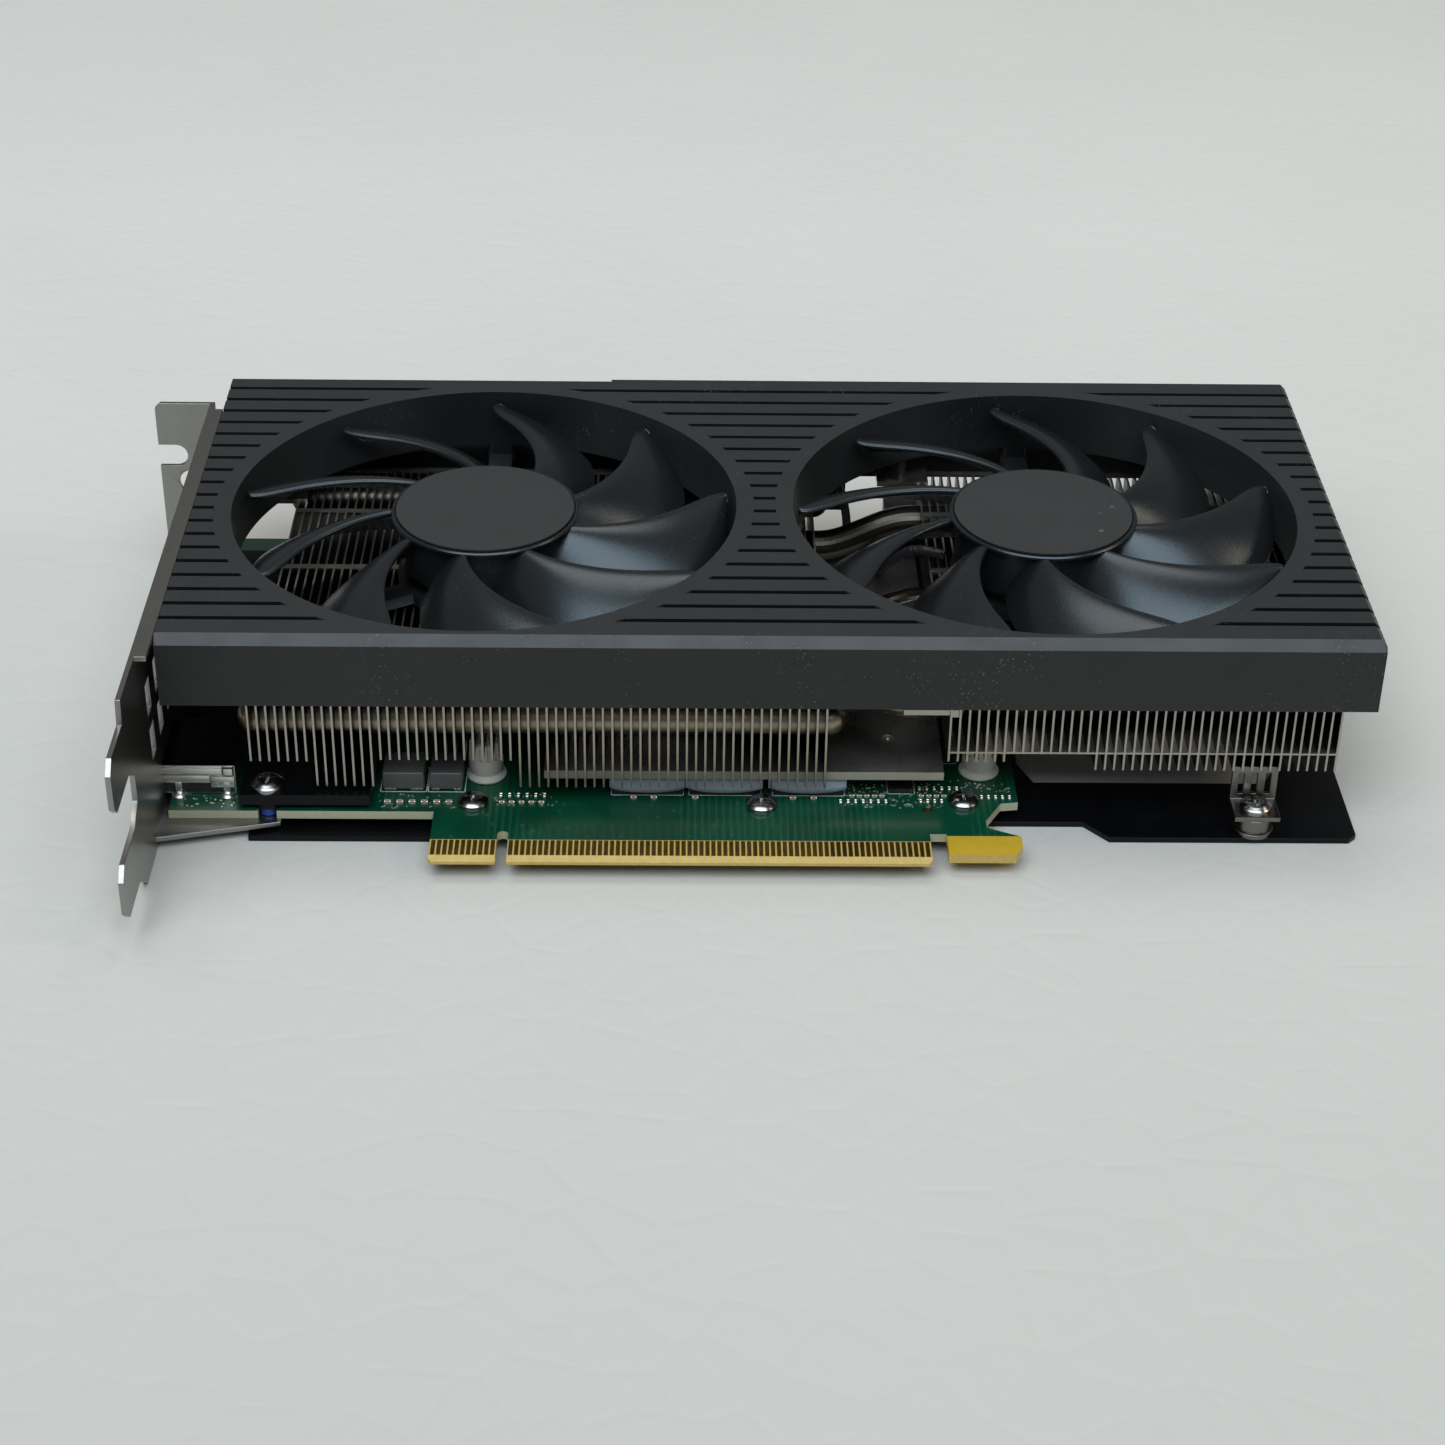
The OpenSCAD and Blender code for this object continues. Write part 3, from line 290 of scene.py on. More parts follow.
def board_material():
    """Green mask with faint tracks and vias; bare laminate on the cut edges and the slanted contact edge."""
    m = Material("circuit_board", (0.01, 0.09, 0.05), 0.32, Coat_Weight=0.35, Coat_Roughness=0.16)
    low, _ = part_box("circuit_board")
    bundle = m.ramp(m.noise(60.0, 1.0, 0.4, (1.0, 0.25, 0.0)), 0.52, 0.56)
    wave = m.math("SINE", m.math("MULTIPLY", m.axis("X"), 5200.0))
    lines = m.math("MULTIPLY", m.ramp(wave, 0.3, 0.6), bundle)
    pour = m.ramp(m.noise(45.0, 2.0), 0.46, 0.5)
    vias = m.ramp(m.cells(330.0, stretch=(1.0, 1.0, 0.0)), 0.1, 0.14, 1.0, 0.0)
    green = m.mix(m.math("MULTIPLY", pour, 0.5), (0.0012, 0.046, 0.022), (0.002, 0.068, 0.033))
    green = m.mix(m.math("MULTIPLY", lines, 0.4), green, (0.009, 0.115, 0.062))
    green = m.mix(m.math("MULTIPLY", vias, 0.35), green, (0.05, 0.13, 0.07))
    upright = m.ramp(m.math("ABSOLUTE", m.normal("Z")), 0.9, 0.97, 1.0, 0.0)
    tip = m.ramp(m.axis("Y"), low.y + 5.75 * MM, low.y + 5.85 * MM, 1.0, 0.0)
    bare = m.math("MAXIMUM", upright, tip)
    weave = m.noise(900.0, 2.0)
    laminate = m.mix(weave, (0.36, 0.35, 0.24), (0.46, 0.45, 0.32))
    laminate = m.mix(m.ramp(m.axis("Y"), low.y + 7.5 * MM, low.y + 7.7 * MM, 1.0, 0.0), laminate,
                     m.mix(weave, (0.46, 0.31, 0.07), (0.62, 0.45, 0.12)))
    m.colour(m.mix(bare, green, laminate))
    m.roughness(m.math("ADD", m.math("MULTIPLY", bare, 0.25), 0.3))
    return m.bump(m.math("ADD", lines, pour), 0.012 * MM).data


def base_metal():
    """Plated metal, darker on its top face and paler and rougher on its sides."""
    m = Material("base", (0.3, 0.29, 0.275), 0.3, 0.8)
    fine = m.noise(300.0, 4.0, 0.6)
    top = m.ramp(m.normal("Z"), 0.75, 0.95)
    rim = m.mix(fine, (0.46, 0.42, 0.36), (0.62, 0.58, 0.5))
    m.colour(m.mix(top, rim, m.mix(fine, (0.2, 0.19, 0.175), (0.3, 0.29, 0.27))))
    m.roughness(m.math("SUBTRACT", 0.55, m.math("MULTIPLY", top, m.ramp(fine, 0.3, 0.7, 0.3, 0.22))))
    return m.bump(m.noise(30.0, 1.0), 0.02 * MM, 0.4).data


def contact_gold():
    """Plating with wear streaks along the fingers."""
    m = Material("contact_gold", (0.5, 0.33, 0.1), 0.3, 1.0)
    wear = m.noise(700.0, 3.0, 0.6, (6.0, 0.6, 1.0))
    m.colour(m.mix(wear, (0.22, 0.14, 0.035), (0.34, 0.23, 0.075)))
    m.roughness(m.ramp(wear, 0.3, 0.7, 0.3, 0.4))
    return m.data


def hook_yellow():
    m = Material("hook_yellow", (0.56, 0.37, 0.04), 0.42)
    m.colour(m.mix(m.noise(260.0, 3.0), (0.5, 0.32, 0.018), (0.62, 0.41, 0.03)))
    m.roughness(m.ramp(m.noise(600.0), 0.3, 0.7, 0.34, 0.5))
    return m.bump(m.noise(2600.0), 0.008 * MM).data


def floor_material():
    """Pale, faintly creased paper with painted shade, a little darker towards the viewer."""
    m = Material("floor", (0.72, 0.725, 0.71), 0.62)
    creases = m.ramp(m.cells(95.0, "DISTANCE_TO_EDGE"), 0.0, 0.12)
    wide = m.noise(3.2, 3.0)
    # painted shade: the paper is painted darker towards the viewer
    shade = m.ramp(m.math("ADD", m.axis("Y"), m.math("MULTIPLY", wide, 0.12)), -0.22, 0.3)
    m.colour(m.mix(shade, (0.49, 0.487, 0.457), (0.73, 0.725, 0.695)))
    m.roughness(m.ramp(m.noise(14.0), 0.3, 0.7, 0.55, 0.68))
    return m.bump(m.math("ADD", m.math("MULTIPLY", creases, 0.5), m.noise(60.0, 5.0)), 0.35 * MM, 0.3).data


def pipe_metal():
    """Dull nickel over copper: beige along the near edge, with painted shade making it dark farther in."""
    m = Material("pipes", (0.32, 0.27, 0.2), 0.3, 1.0)
    near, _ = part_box("heat_pipe_left_front")
    stain = m.noise(90.0, 4.0, 0.6)
    # painted shade: darker farther back from the near edge
    painted_shade_far = m.ramp(m.axis("Y"), near.y + 9 * MM, near.y + 22 * MM)
    beige = m.mix(stain, (0.24, 0.195, 0.135), (0.42, 0.36, 0.275))
    m.colour(m.mix(painted_shade_far, beige, m.mix(stain, (0.05, 0.045, 0.04), (0.13, 0.115, 0.095))))
    m.roughness(m.ramp(stain, 0.3, 0.7, 0.26, 0.4))
    return m.data


def port_steel():
    """Silver sides and bright rims; painted shade makes the top dull and dark."""
    m = Material("port_steel", (0.6, 0.59, 0.57), 0.26, 1.0)
    stain = m.noise(260.0, 4.0, 0.6)
    # painted shade on the upward faces
    top = m.ramp(m.normal("Z"), 0.85, 0.95)
    silver = m.mix(stain, (0.36, 0.35, 0.33), (0.5, 0.48, 0.45))
    m.colour(m.mix(top, silver, m.mix(stain, (0.008, 0.008, 0.009), (0.03, 0.03, 0.032))))
    m.roughness(m.ramp(stain, 0.3, 0.7, 0.24, 0.36))
    return m.data


def lead_sleeve():
    m = Material("lead_sleeve", (0.012, 0.012, 0.013), 0.5)
    braid = m.ramp(m.cells(1500.0), 0.1, 0.5)
    m.colour(m.mix(braid, (0.008, 0.008, 0.009), (0.03, 0.03, 0.032)))
    m.roughness(m.ramp(braid, 0.0, 1.0, 0.55, 0.4))
    return m.bump(braid, 0.08 * MM).data


def winding_copper():
    m = Material("winding_copper", (0.5, 0.19, 0.07), 0.32, 1.0)
    turns = m.noise(900.0, 1.0, 0.5, (1.0, 1.0, 8.0))
    m.colour(m.mix(turns, (0.36, 0.12, 0.04), (0.62, 0.27, 0.11)))
    m.roughness(m.ramp(turns, 0.3, 0.7, 0.26, 0.42))
    return m.bump(turns, 0.05 * MM).data


def make_materials():
    return {
        "shroud_plastic": shroud_plastic(),
        "fan_plastic": fan_plastic(),
        "frame_plastic": plastic("frame_plastic", (0.014, 0.014, 0.016), 0.5, dusty=0.05),
        "cap_face": plastic("cap_face", (0.024, 0.026, 0.0265), 0.56, 7000.0, 0.02 * MM, 0.1),
        "magnet": metal("magnet", (0.2, 0.19, 0.18), 0.55),
        "steel": metal("steel", (0.66, 0.66, 0.67), 0.25),
        "bronze": metal("bronze", (0.55, 0.36, 0.16), 0.45),
        "winding": winding_copper(),
        "board_green": board_material(),
        "lead_black": lead_sleeve(),
        "header_white": plastic("header_white", (0.74, 0.72, 0.66), 0.45),
        "fins": fin_metal(),
        "pipes": pipe_metal(),
        "base": base_metal(),
        "pad": plastic("pad", (0.3, 0.34, 0.39), 0.6, 3000.0, 0.06 * MM),
        "gold": contact_gold(),
        "hook_yellow": hook_yellow(),
        "package": plastic("package", (0.02, 0.07, 0.04), 0.4),
        "silicon": metal("silicon", (0.3, 0.32, 0.36), 0.12),
        "chip_black": plastic("chip_black", (0.014, 0.014, 0.015), 0.42, 8000.0, 0.02 * MM),
        "ferrite": plastic("ferrite", (0.1, 0.098, 0.094), 0.4, 1500.0, 0.06 * MM, 0.1),
        "capacitor": plastic("capacitor", (0.62, 0.6, 0.54), 0.34, 2600.0, 0.01 * MM),
        "small_part": plastic("small_part", (0.36, 0.3, 0.22), 0.45),
        "tin": metal("tin", (0.8, 0.8, 0.78), 0.35),
        "silk": plastic("silk", (0.7, 0.72, 0.68), 0.6),
        "port_steel": port_steel(),
        "port_bright": metal("port_bright", (0.72, 0.7, 0.66), 0.3),
        "bracket_steel": metal("bracket_steel", (0.32, 0.312, 0.295), 0.3, (1.0, 6.0, 1.0), 0.07),
        "screw_steel": metal("screw_steel", (0.34, 0.33, 0.325), 0.2),
        "black_metal": plastic("black_metal", (0.0014, 0.0016, 0.0022), 0.42, 3600.0, 0.03 * MM,
                               Specular_IOR_Level=0.22),
        "socket_black": plastic("socket_black", (0.012, 0.012, 0.013), 0.4),
        "strap": metal("strap", (0.2, 0.19, 0.175), 0.3, tint=0.25),
        "thread_blue": plastic("thread_blue", (0.015, 0.06, 0.3), 0.35),
    }


MATERIALS = make_materials()
SLOT_OF = {row["node"]: row["material_slot"] for row in frame["record"]["subparts"]}


def dress_cad_nodes():
    for name, node in frame["nodes"].items():
        node.data.materials.clear()
        node.data.materials.append(MATERIALS[SLOT_OF[name]])


# ---------------------------------------------------------------- mesh helpers

def piece(name, mesh, body, slot, node=None, sharp=30.0, materials=None):
    """Adds a mesh to the object: it rides on a body and may stand for a CAD node."""
    mesh.polygons.foreach_set("use_smooth", [True] * len(mesh.polygons))
    mesh.set_sharp_from_angle(angle=math.radians(sharp))
    for key in materials or [slot]:
        mesh.materials.append(MATERIALS[key])
    obj = bpy.data.objects.new(name, mesh)
    bpy.context.scene.collection.objects.link(obj)
    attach(obj, body)
    if node:
        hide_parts(node)
    return obj


def finish_bmesh(name, bm):
    bmesh.ops.recalc_face_normals(bm, faces=bm.faces)
    mesh = bpy.data.meshes.new(name)
    bm.to_mesh(mesh)
    bm.free()
    return mesh


def add_box(bm, low, high, material=0, bevel=0.0, segments=2):
    """A box with rounded edges."""
    made = bmesh.ops.create_cube(bm, size=1)["verts"]
    size = Vector(high) - Vector(low)
    middle = (Vector(high) + Vector(low)) / 2
    for v in made:
        v.co = Vector((v.co.x * size.x, v.co.y * size.y, v.co.z * size.z)) + middle
    faces = list(dict.fromkeys(f for v in made for f in v.link_faces))
    if bevel:
        edges = list(dict.fromkeys(e for f in faces for e in f.edges))
        done = bmesh.ops.bevel(bm, geom=edges, offset=min(bevel, min(size) * 0.45), segments=segments,
                               profile=0.6, affect="EDGES", clamp_overlap=True)
        faces = [f for f in faces if f.is_valid] + done["faces"]
    for f in faces:
        f.material_index = material


def add_lathe(bm, centre, profile, steps, ribs=0, rib_depth=0.0, rib_from=0.0):
    """A turned shape: profile is a list of (radius, height) pairs. Above rib_from its wall can carry ribs."""
    rings = []
    for radius, height in profile:
        at = Vector((centre[0], centre[1], height))
        if radius < 1e-9:
            rings.append([bm.verts.new(at)])
        else:
            rings.append([])
            for k in range(steps):
                a = 2 * math.pi * k / steps
                cut = rib_depth if ribs and height > rib_from and math.cos(a * ribs) < -0.1 else 0
                rings[-1].append(bm.verts.new(at + Vector((math.cos(a), math.sin(a), 0)) * (radius - cut)))
    for a, b in zip(rings, rings[1:]):
        for k in range(steps):
            m = (k + 1) % steps
            corners = [a[k % len(a)], a[m % len(a)], b[m % len(b)], b[k % len(b)]]
            bm.faces.new(list(dict.fromkeys(corners)))


def islands(node):
    """The boxes of a CAD node's separate solids, from its own mesh."""
    mesh = frame["nodes"][node].data
    points = [v.co.copy() for v in mesh.vertices]
    key = {}
    parent = list(range(len(points)))

    def root(i):
        while parent[i] != i:
            parent[i] = parent[parent[i]]
            i = parent[i]
        return i

    for i, p in enumerate(points):
        spot = tuple(round(c, 7) for c in p)
        parent[i] = root(key.setdefault(spot, i))
    for poly in mesh.polygons:
        first = root(poly.vertices[0])
        for i in poly.vertices[1:]:
            parent[root(i)] = first
    found = {}
    for i, p in enumerate(points):
        found.setdefault(root(i), []).append(p)
    boxes = [(Vector(map(min, zip(*g))), Vector(map(max, zip(*g)))) for g in found.values()]
    return sorted(boxes, key=lambda b: tuple(round(c, 5) for c in b[0]))


def soften(node, width):
    """Rounds a CAD node's sharp edges with modifiers; its own mesh stays as packed."""
    obj = frame["nodes"][node]
    if "custom_normal" in obj.data.attributes:
        obj.data.attributes.remove(obj.data.attributes["custom_normal"])
    obj.data.polygons.foreach_set("use_smooth", [True] * len(obj.data.polygons))
    weld = obj.modifiers.new("weld", "WELD")
    weld.merge_threshold = 1e-6
    bevel = obj.modifiers.new("bevel", "BEVEL")
    bevel.width, bevel.segments = width, 2
    bevel.limit_method, bevel.angle_limit = "ANGLE", math.radians(40)
    bevel.use_clamp_overlap = True
    even = obj.modifiers.new("even", "WEIGHTED_NORMAL")
    even.keep_sharp = False
    even.weight = 80


# Edge radius of each CAD node whose sharp edges show
SOFTENED = {
    "shroud": 0.2 * MM,
    "slot_bracket": 0.1 * MM,
    "backplate": 0.12 * MM,
    "front_plate": 0.2 * MM,
    "base_plate": 0.12 * MM,
    "fan_frame_left": 0.2 * MM,
    "fan_frame_right": 0.2 * MM,
    "memory_chips": 0.06 * MM,
    "control_chips": 0.08 * MM,
    "power_stages": 0.06 * MM,
    "tail_strap": 0.12 * MM,
    "tail_post": 0.15 * MM,
    "plate_screws": 0.12 * MM,
    "bracket_screws": 0.12 * MM,
    "tail_screw": 0.12 * MM,
}


# ---------------------------------------------------------------- fans

BLADES = 9
TIP_R = 43.7 * MM
ROOT_R = 14.9 * MM
BLADE_SWEEP = math.radians(35)
BLADE_CHORD = math.radians(27)
BLADE_TURN = {"left": math.radians(20.5), "right": math.radians(26.5)}
BLADE_RINGS, BLADE_STEPS = 36, 20
BLADE_ROUND = 0.75      # share of the span where the tip's rounding starts
RIM_R = 16.7 * MM       # the hub's rolled rim, its wall and its bore
WALL_R = 15.4 * MM
BORE_R = 14 * MM
BLADE_TOP = 0.7 * MM    # the blades' span and the hub wall's foot, below the hub cap's top
BLADE_LOW = 9.5 * MM
HUB_FOOT = 9.9 * MM


def blade_chord(u):
    """Angle that a blade covers, u of the way from root to tip: it widens, then rounds off."""
    if u < BLADE_ROUND:
        return math.radians(24 + 12 * u * (1 - u))
    return math.radians(26.25) * math.sqrt(max(0.004, 1 - ((u - BLADE_ROUND) / 0.2535) ** 2))


def blade_lead(u):
    """Angle of the leading edge: swept forward, then rounded back by up to five degrees at the tip."""
    past = max(0, (u - BLADE_ROUND) / (1 - BLADE_ROUND))
    rounded = 5 * (1 - math.sqrt(max(0, 1 - past ** 2)))
    return BLADE_SWEEP * u - math.radians(rounded)


def blade_height(u, v, top, low):
    """Height of the blade's middle surface: flat at the leading edge (v = 0), then falling away."""
    drop = 0.35 + 0.65 * blade_chord(u) / BLADE_CHORD
    return top - (0.6 + 0.4 * u) * MM - (top - low - 1.8 * MM) * drop * v ** 1.6


def blade_half(u, v):
    """Half thickness: a rounded nose that thins towards the trailing edge."""
    shape = 1.4845 * math.sqrt(v) - 0.63 * v - 1.758 * v ** 2 + 1.4215 * v ** 3 - 0.5075 * v ** 4
    return (0.1 + (2 - 0.6 * u) * max(0, shape)) * MM


def add_blade(bm, centre, turn, top, low):
    """One blade: a thickened, falling sheet from root to tip, closed along its edges and its tip."""
    rows = {}
    for side in (1, -1):
        for i in range(BLADE_RINGS + 1):
            u = 1 - (1 - i / BLADE_RINGS) ** 1.6
            r = ROOT_R + (TIP_R - ROOT_R) * u
            for j in range(BLADE_STEPS + 1):
                v = (1 - math.cos(math.pi * j / BLADE_STEPS)) / 2
                a = turn + blade_lead(u) - blade_chord(u) * v
                z = blade_height(u, v, top, low) + side * blade_half(u, v)
                x, y = centre.x + r * math.cos(a), centre.y + r * math.sin(a)
                rows[side, i, j] = bm.verts.new((x, y, z))
    for i in range(BLADE_RINGS):
        for j in range(BLADE_STEPS):
            for side in (1, -1):
                ring = [rows[side, i, j], rows[side, i, j + 1],
                        rows[side, i + 1, j + 1], rows[side, i + 1, j]]
                bm.faces.new(ring[::-side])
        for j in (0, BLADE_STEPS):
            bm.faces.new([rows[1, i, j], rows[-1, i, j], rows[-1, i + 1, j], rows[1, i + 1, j]])
    for j in range(BLADE_STEPS):
        i = BLADE_RINGS
        bm.faces.new([rows[1, i, j], rows[1, i, j + 1], rows[-1, i, j + 1], rows[-1, i, j]])


def hub_profile(rim_top, skirt):
    """The hub's outline: an open wall, then a wider rolled rim round the shallow seat of the hub cap."""
    return [
        (BORE_R, skirt + 0.2 * MM), (BORE_R + 0.2 * MM, skirt),
        (WALL_R - 0.25 * MM, skirt), (WALL_R, skirt + 0.25 * MM),
        (WALL_R, rim_top - 1.15 * MM), (WALL_R + 0.35 * MM, rim_top - 0.95 * MM),
        (RIM_R - 0.3 * MM, rim_top - 0.9 * MM), (RIM_R, rim_top - 0.65 * MM),
        (RIM_R, rim_top - 0.22 * MM), (RIM_R - 0.2 * MM, rim_top),
        (RIM_R - 0.62 * MM, rim_top), (RIM_R - 0.78 * MM, rim_top - 0.28 * MM),
        (0, rim_top - 0.28 * MM),
    ]


def make_rotor(side):
    """Hub and blades as one piece, round the hub cap that the CAD frame holds."""
    node = f"fan_rotor_{side}"
    cap_low, cap_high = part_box(f"hub_cap_{side}")
    centre, top = (cap_low + cap_high) / 2, cap_high.z
    bm = bmesh.new()
    add_lathe(bm, centre, hub_profile(cap_low.z, top - HUB_FOOT), 128)
    for k in range(BLADES):
        turn = BLADE_TURN[side] + k * 2 * math.pi / BLADES
        add_blade(bm, centre, turn, top - BLADE_TOP, top - BLADE_LOW)
    piece(f"rotor_{side}", finish_bmesh(node, bm), f"fan_{side}", "fan_plastic", node, 42)


# ---------------------------------------------------------------- board parts

def make_small_parts():
    """Each chip part: a ceramic body between two tinned ends."""
    bm = bmesh.new()
    for low, high in islands("small_parts"):
        size = high - low
        along = 0 if size.x >= size.y else 1
        cap = size[along] * 0.24
        inner_low, inner_high = low.copy(), high.copy()
        inner_low[along] += cap
        inner_high[along] -= cap
        inner_high.z -= 0.05 * MM
        add_box(bm, inner_low, inner_high, 0)
        for end in (0, 1):
            a, b = low.copy(), high.copy()
            if end:
                a[along] = b[along] - cap
            else:
                b[along] = a[along] + cap
            add_box(bm, a, b, 1, 0.06 * MM, 1)
    piece("chip_parts", finish_bmesh("chip_parts", bm), "card", "small_part", "small_parts",
          materials=["small_part", "tin"])


def can_profile(r, foot, top, heights):
    """A can's outline: a flared seat, a waist, a shoulder at the three heights and a domed end."""
    can = r - 0.5 * MM
    shoulder = [(can + out * MM, height) for out, height in zip((0.05, -0.05, -0.08), heights)]
    return [
        (0, foot), (r - 0.25 * MM, foot), (r, foot + 0.25 * MM), (r, foot + 0.55 * MM),
        (r - 0.35 * MM, foot + 0.85 * MM), (can - 0.35 * MM, foot + 1.15 * MM),
        (can - 0.3 * MM, foot + 1.4 * MM), (can, foot + 1.9 * MM), *shoulder,
        (can - 0.25 * MM, top - 0.35 * MM), (can - 0.8 * MM, top - 0.05 * MM),
        (can - 1.1 * MM, top), (0, top),
    ]


def make_capacitors():
    """Moulded cans; the two tall ones have a ribbed crown."""
    bm = bmesh.new()
    for low, high in islands("polymer_capacitors"):
        r, foot, top = (high.x - low.x) / 2, low.z, high.z
        tall = top - foot > 5 * MM
        crown = foot + 4.3 * MM
        if tall:
            heights = (crown - 0.6 * MM, crown, crown + 0.05 * MM)
        else:
            heights = (top - 1.6 * MM, top - 0.9 * MM, top - 0.85 * MM)
        add_lathe(bm, (low + high) / 2, can_profile(r, foot, top, heights), 96, ribs=12 if tall else 0,
                  rib_depth=0.4 * MM, rib_from=crown + 0.01 * MM)
    piece("capacitor_cans", finish_bmesh("capacitor_cans", bm), "card", "capacitor", "polymer_capacitors")


def make_chokes():
    """Pressed blocks, each on two tinned feet."""
    bm = bmesh.new()
    for low, high in islands("chokes"):
        body_low, body_high = low.copy(), high.copy()
        body_low.z += 0.25 * MM
        add_box(bm, body_low, body_high, 0, 0.35 * MM, 3)
        middle = (low + high) / 2
        foot_low, foot_high = low.y + 0.02 * MM, high.y - 0.02 * MM
        for x0, x1 in ((low.x + 0.25 * MM, middle.x - 1.2 * MM), (middle.x + 1.2 * MM, high.x - 0.25 * MM)):
            add_box(bm, (x0, foot_low, low.z), (x1, foot_high, low.z + 0.5 * MM), 1, 0.08 * MM, 1)
    piece("choke_blocks", finish_bmesh("choke_blocks", bm), "card", "ferrite", "chokes",
          materials=["ferrite", "tin"])


PAD_STEPS = 24


def pad_ring(low, high, foot, bulge):
    """A pad's section across its length as (y, z) pairs: square at the back, bulging out at the front."""
    ring = [(high.y, high.z), (low.y + 0.1 * MM, high.z), (low.y - bulge * 0.45, high.z - 0.25 * MM)]
    for a in (math.radians(t) for t in (0, 25, 50, 72)):
        ring.append((low.y - bulge * math.cos(a) * 0.9, foot + (high.z - foot) * (0.45 - 0.45 * math.sin(a))))
    return ring + [(low.y + 0.3 * MM, foot), (low.y + 0.55 * MM, low.z), (high.y, low.z)]


def make_pads():
    """Soft pads squeezed between the memory and the base plate: the front ones sag over the chips."""
    bm = bmesh.new()
    pads = islands("thermal_pads")
    front = min(low.y for low, _ in pads)
    for low, high in pads:
        size, middle = high - low, (low + high) / 2
        sag, drop = (1.25 * MM, 0.45 * MM) if low.y < front + MM else (0.15 * MM, 0)
        rows = []
        for i in range(PAD_STEPS + 1):
            x = low.x + size.x * (1 - math.cos(math.pi * i / PAD_STEPS)) / 2
            belly = math.sqrt(max(0, 1 - ((x - middle.x) / (size.x * 0.52)) ** 2))
            foot = low.z + 0.85 * MM * (1 - belly) - drop * belly
            ring = pad_ring(low, high, foot, sag * (0.3 + 0.7 * belly))
            rows.append([bm.verts.new((x, y, z)) for y, z in ring])
        for a, b in zip(rows, rows[1:]):
            for k in range(len(a)):
                m = (k + 1) % len(a)
                bm.faces.new([a[k], a[m], b[m], b[k]])
        bm.faces.new(rows[0])
        bm.faces.new(rows[-1][::-1])
    piece("squeezed_pads", finish_bmesh("squeezed_pads", bm), "card", "pad", "thermal_pads")


KEY_NOTCH_X = 57.3 * MM     # from the board's left end
# Areas strewn with solder dots: two corners in mm, from the key notch and the contact edge, and how many dots
DOT_AREAS = [
    ((57.2, 16.6), (75.4, 23.4), 190),
    ((76, 20), (87, 24.5), 60),
    ((-2, 16), (9, 20), 40),
    ((-56, 15), (-46, 18.5), 26),
    ((-22, 15), (-8, 19.4), 30),
    ((60, 15.9), (75, 17), 30),
]
# Parts that the dots keep clear of
DOT_FREE = ("small_parts", "control_chips", "plate_screws", "polymer_capacitors", "memory_chips")


def make_solder_dots():
    """Small tinned pads scattered around the control chip, the cans and the front chip rows."""
    bm = bmesh.new()
    board_low, board_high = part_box("circuit_board")
    tops = [box for name in DOT_FREE for box in islands(name)]
    rng = random.Random(7)
    face = board_high.z
    key_x, edge_y = board_low.x + KEY_NOTCH_X, board_low.y
    for (x0, y0), (x1, y1), count in DOT_AREAS:
        for _ in range(count):
            x = key_x + rng.uniform(x0, x1) * MM
            y = edge_y + rng.uniform(y0, y1) * MM
            r = rng.choice((0.16, 0.2, 0.26)) * MM
            if any(a.x - r < x < b.x + r and a.y - r < y < b.y + r for a, b in tops):
                continue
            dome = [(0, face), (r, face), (r * 0.8, face + 0.09 * MM), (0, face + 0.13 * MM)]
            add_lathe(bm, (x, y), dome, 8)
    piece("solder_dots", finish_bmesh("solder_dots", bm), "card", "small_part", materials=["tin"])


def add_outline(bm, low, high, gap, face):
    """A printed rectangle round a part's box, a gap away from it."""
    width, thick = 0.16 * MM, 0.025 * MM
    x0, y0, x1, y1 = low.x - gap, low.y - gap, high.x + gap, high.y + gap
    for a, b in (((x0, y0), (x1, y0 + width)), ((x0, y1 - width), (x1, y1)),
                 ((x0, y0), (x0 + width, y1)), ((x1 - width, y0), (x1, y1))):
        add_box(bm, (*a, face), (*b, face + thick))


TEST_RING_AT = Vector((129.6, 15.0, 0)) * MM    # from the board's near left corner


def make_board_marks():
    """Printed part outlines, and a bare copper test ring."""
    bm = bmesh.new()
    board_low, board_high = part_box("circuit_board")
    face = board_high.z
    for node, gap in (("chokes", 0.45), ("memory_chips", 0.3), ("control_chips", 0.35)):
        for low, high in islands(node):
            add_outline(bm, low, high, gap * MM, face)
    piece("print_marks", finish_bmesh("print_marks", bm), "card", "header_white", materials=["silk"])
    bm = bmesh.new()
    hole, ring, top = 0.45 * MM, 1.0 * MM, face + 0.04 * MM
    at = board_low + TEST_RING_AT
    add_lathe(bm, at, [(hole, face), (ring, face), (ring, top), (hole, top), (hole, face)], 32)
    piece("test_ring", finish_bmesh("test_ring", bm), "card", "gold")


def make_thread_lock():
    """Blue locking compound round the front plate's screw, in the slot at the board's near edge."""
    low, high = min(islands("bracket_screws"), key=lambda box: box[0].y)
    board_low, board_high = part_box("circuit_board")
    bottom, top, r = board_low.z + 0.03 * MM, board_high.z - 0.03 * MM, 1.45 * MM
    at = (low + high) / 2 - Vector((0, 1.2 * MM, 0))
    profile = [(0, bottom), (r - 0.15 * MM, bottom), (r, bottom + 0.2 * MM),
               (r - 0.1 * MM, (bottom + top) / 2),
               (r, top - 0.2 * MM), (r - 0.15 * MM, top), (0, top)]
    bm = bmesh.new()
    add_lathe(bm, at, profile, 24)
    piece("thread_lock", finish_bmesh("thread_lock", bm), "card", "screw_steel", materials=["thread_blue"])


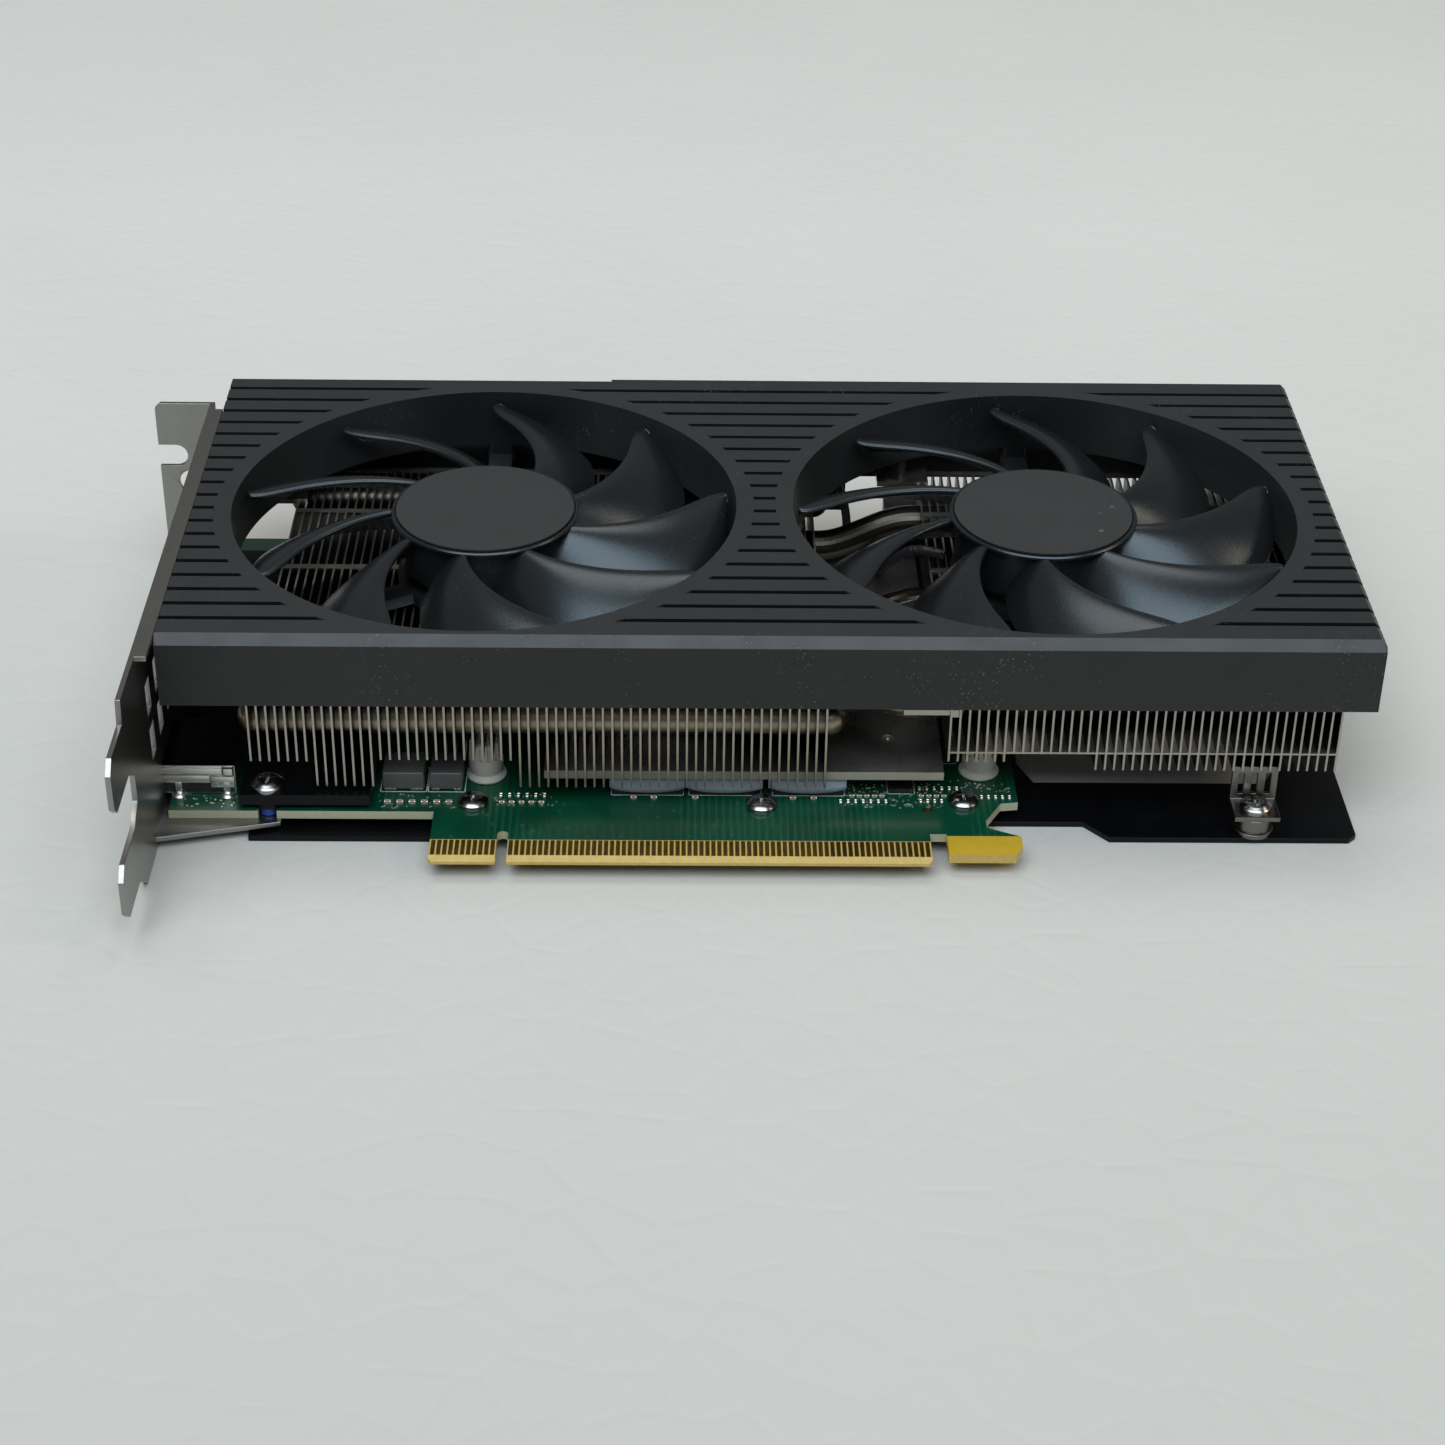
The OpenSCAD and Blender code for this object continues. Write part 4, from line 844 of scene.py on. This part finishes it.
def make_port_front():
    """Folded silver lip, a black strip as painted shade in the gap, and soldered feet along the near side of
    the first display socket.
    """
    low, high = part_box("hdmi_port")
    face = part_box("circuit_board")[1].z
    bm = bmesh.new()

    def bar(x_from, x_to, out, z_from, z_to, material=0, bevel=0.1, back=0.2):
        """A block on the shell's near side. All but the two x are in mm; heights are over the board."""
        add_box(bm, (x_from, low.y - out * MM, face + z_from * MM),
                (x_to, low.y + back * MM, face + z_to * MM), material, bevel * MM)

    start, end = low.x + 1.4 * MM, high.x
    bar(start, end - 2.2 * MM, 0.4, 4.2, 5.5, bevel=0.12)
    bar(start, end - 4.4 * MM, 0.25, 2.4, 3.9)
    bar(end - 4.2 * MM, end - 0.2 * MM, 0.3, 1.5, 3.7)
    for x in (start + 2.6 * MM, end - 1.6 * MM):
        bar(x - 0.55 * MM, x + 0.55 * MM, 0.35, 0, 2.5, back=0.1)
        solder = [(0, face), (1.25 * MM, face), (0.95 * MM, face + 0.3 * MM), (0, face + 0.75 * MM)]
        add_lathe(bm, (x, low.y - 0.2 * MM), solder, 20)
    # black strip as painted shade in the gap behind the feet
    bar(start + 0.2 * MM, end - 0.3 * MM, 0.05, 0.4, 2.6, material=1, bevel=0)
    bar(end - 2.1 * MM, end - 0.2 * MM, 0.5, 3.9, 5.6, material=1, bevel=0.2)
    piece("port_front", finish_bmesh("port_front", bm), "card", "port_steel",
          materials=["port_bright", "socket_black"])


def make_floor():
    reach, gap = 4, 0.05 * MM
    corners = [(-reach, -reach, 0), (reach, -reach, 0), (reach, reach, 0), (-reach, reach, 0)]
    mesh = bpy.data.meshes.new("floor")
    mesh.from_pydata(corners, [], [(0, 1, 2, 3)])
    mesh.materials.append(floor_material())
    floor = bpy.data.objects.new("floor", mesh)
    floor.location.z = -gap
    bpy.context.scene.collection.objects.link(floor)


make_camera()
make_lights()
make_floor()
dress_cad_nodes()
for fan_side in ("left", "right"):
    make_rotor(fan_side)
make_small_parts()
make_capacitors()
make_chokes()
make_pads()
make_solder_dots()
make_board_marks()
make_thread_lock()
make_port_front()
for softened, radius in SOFTENED.items():
    soften(softened, radius)
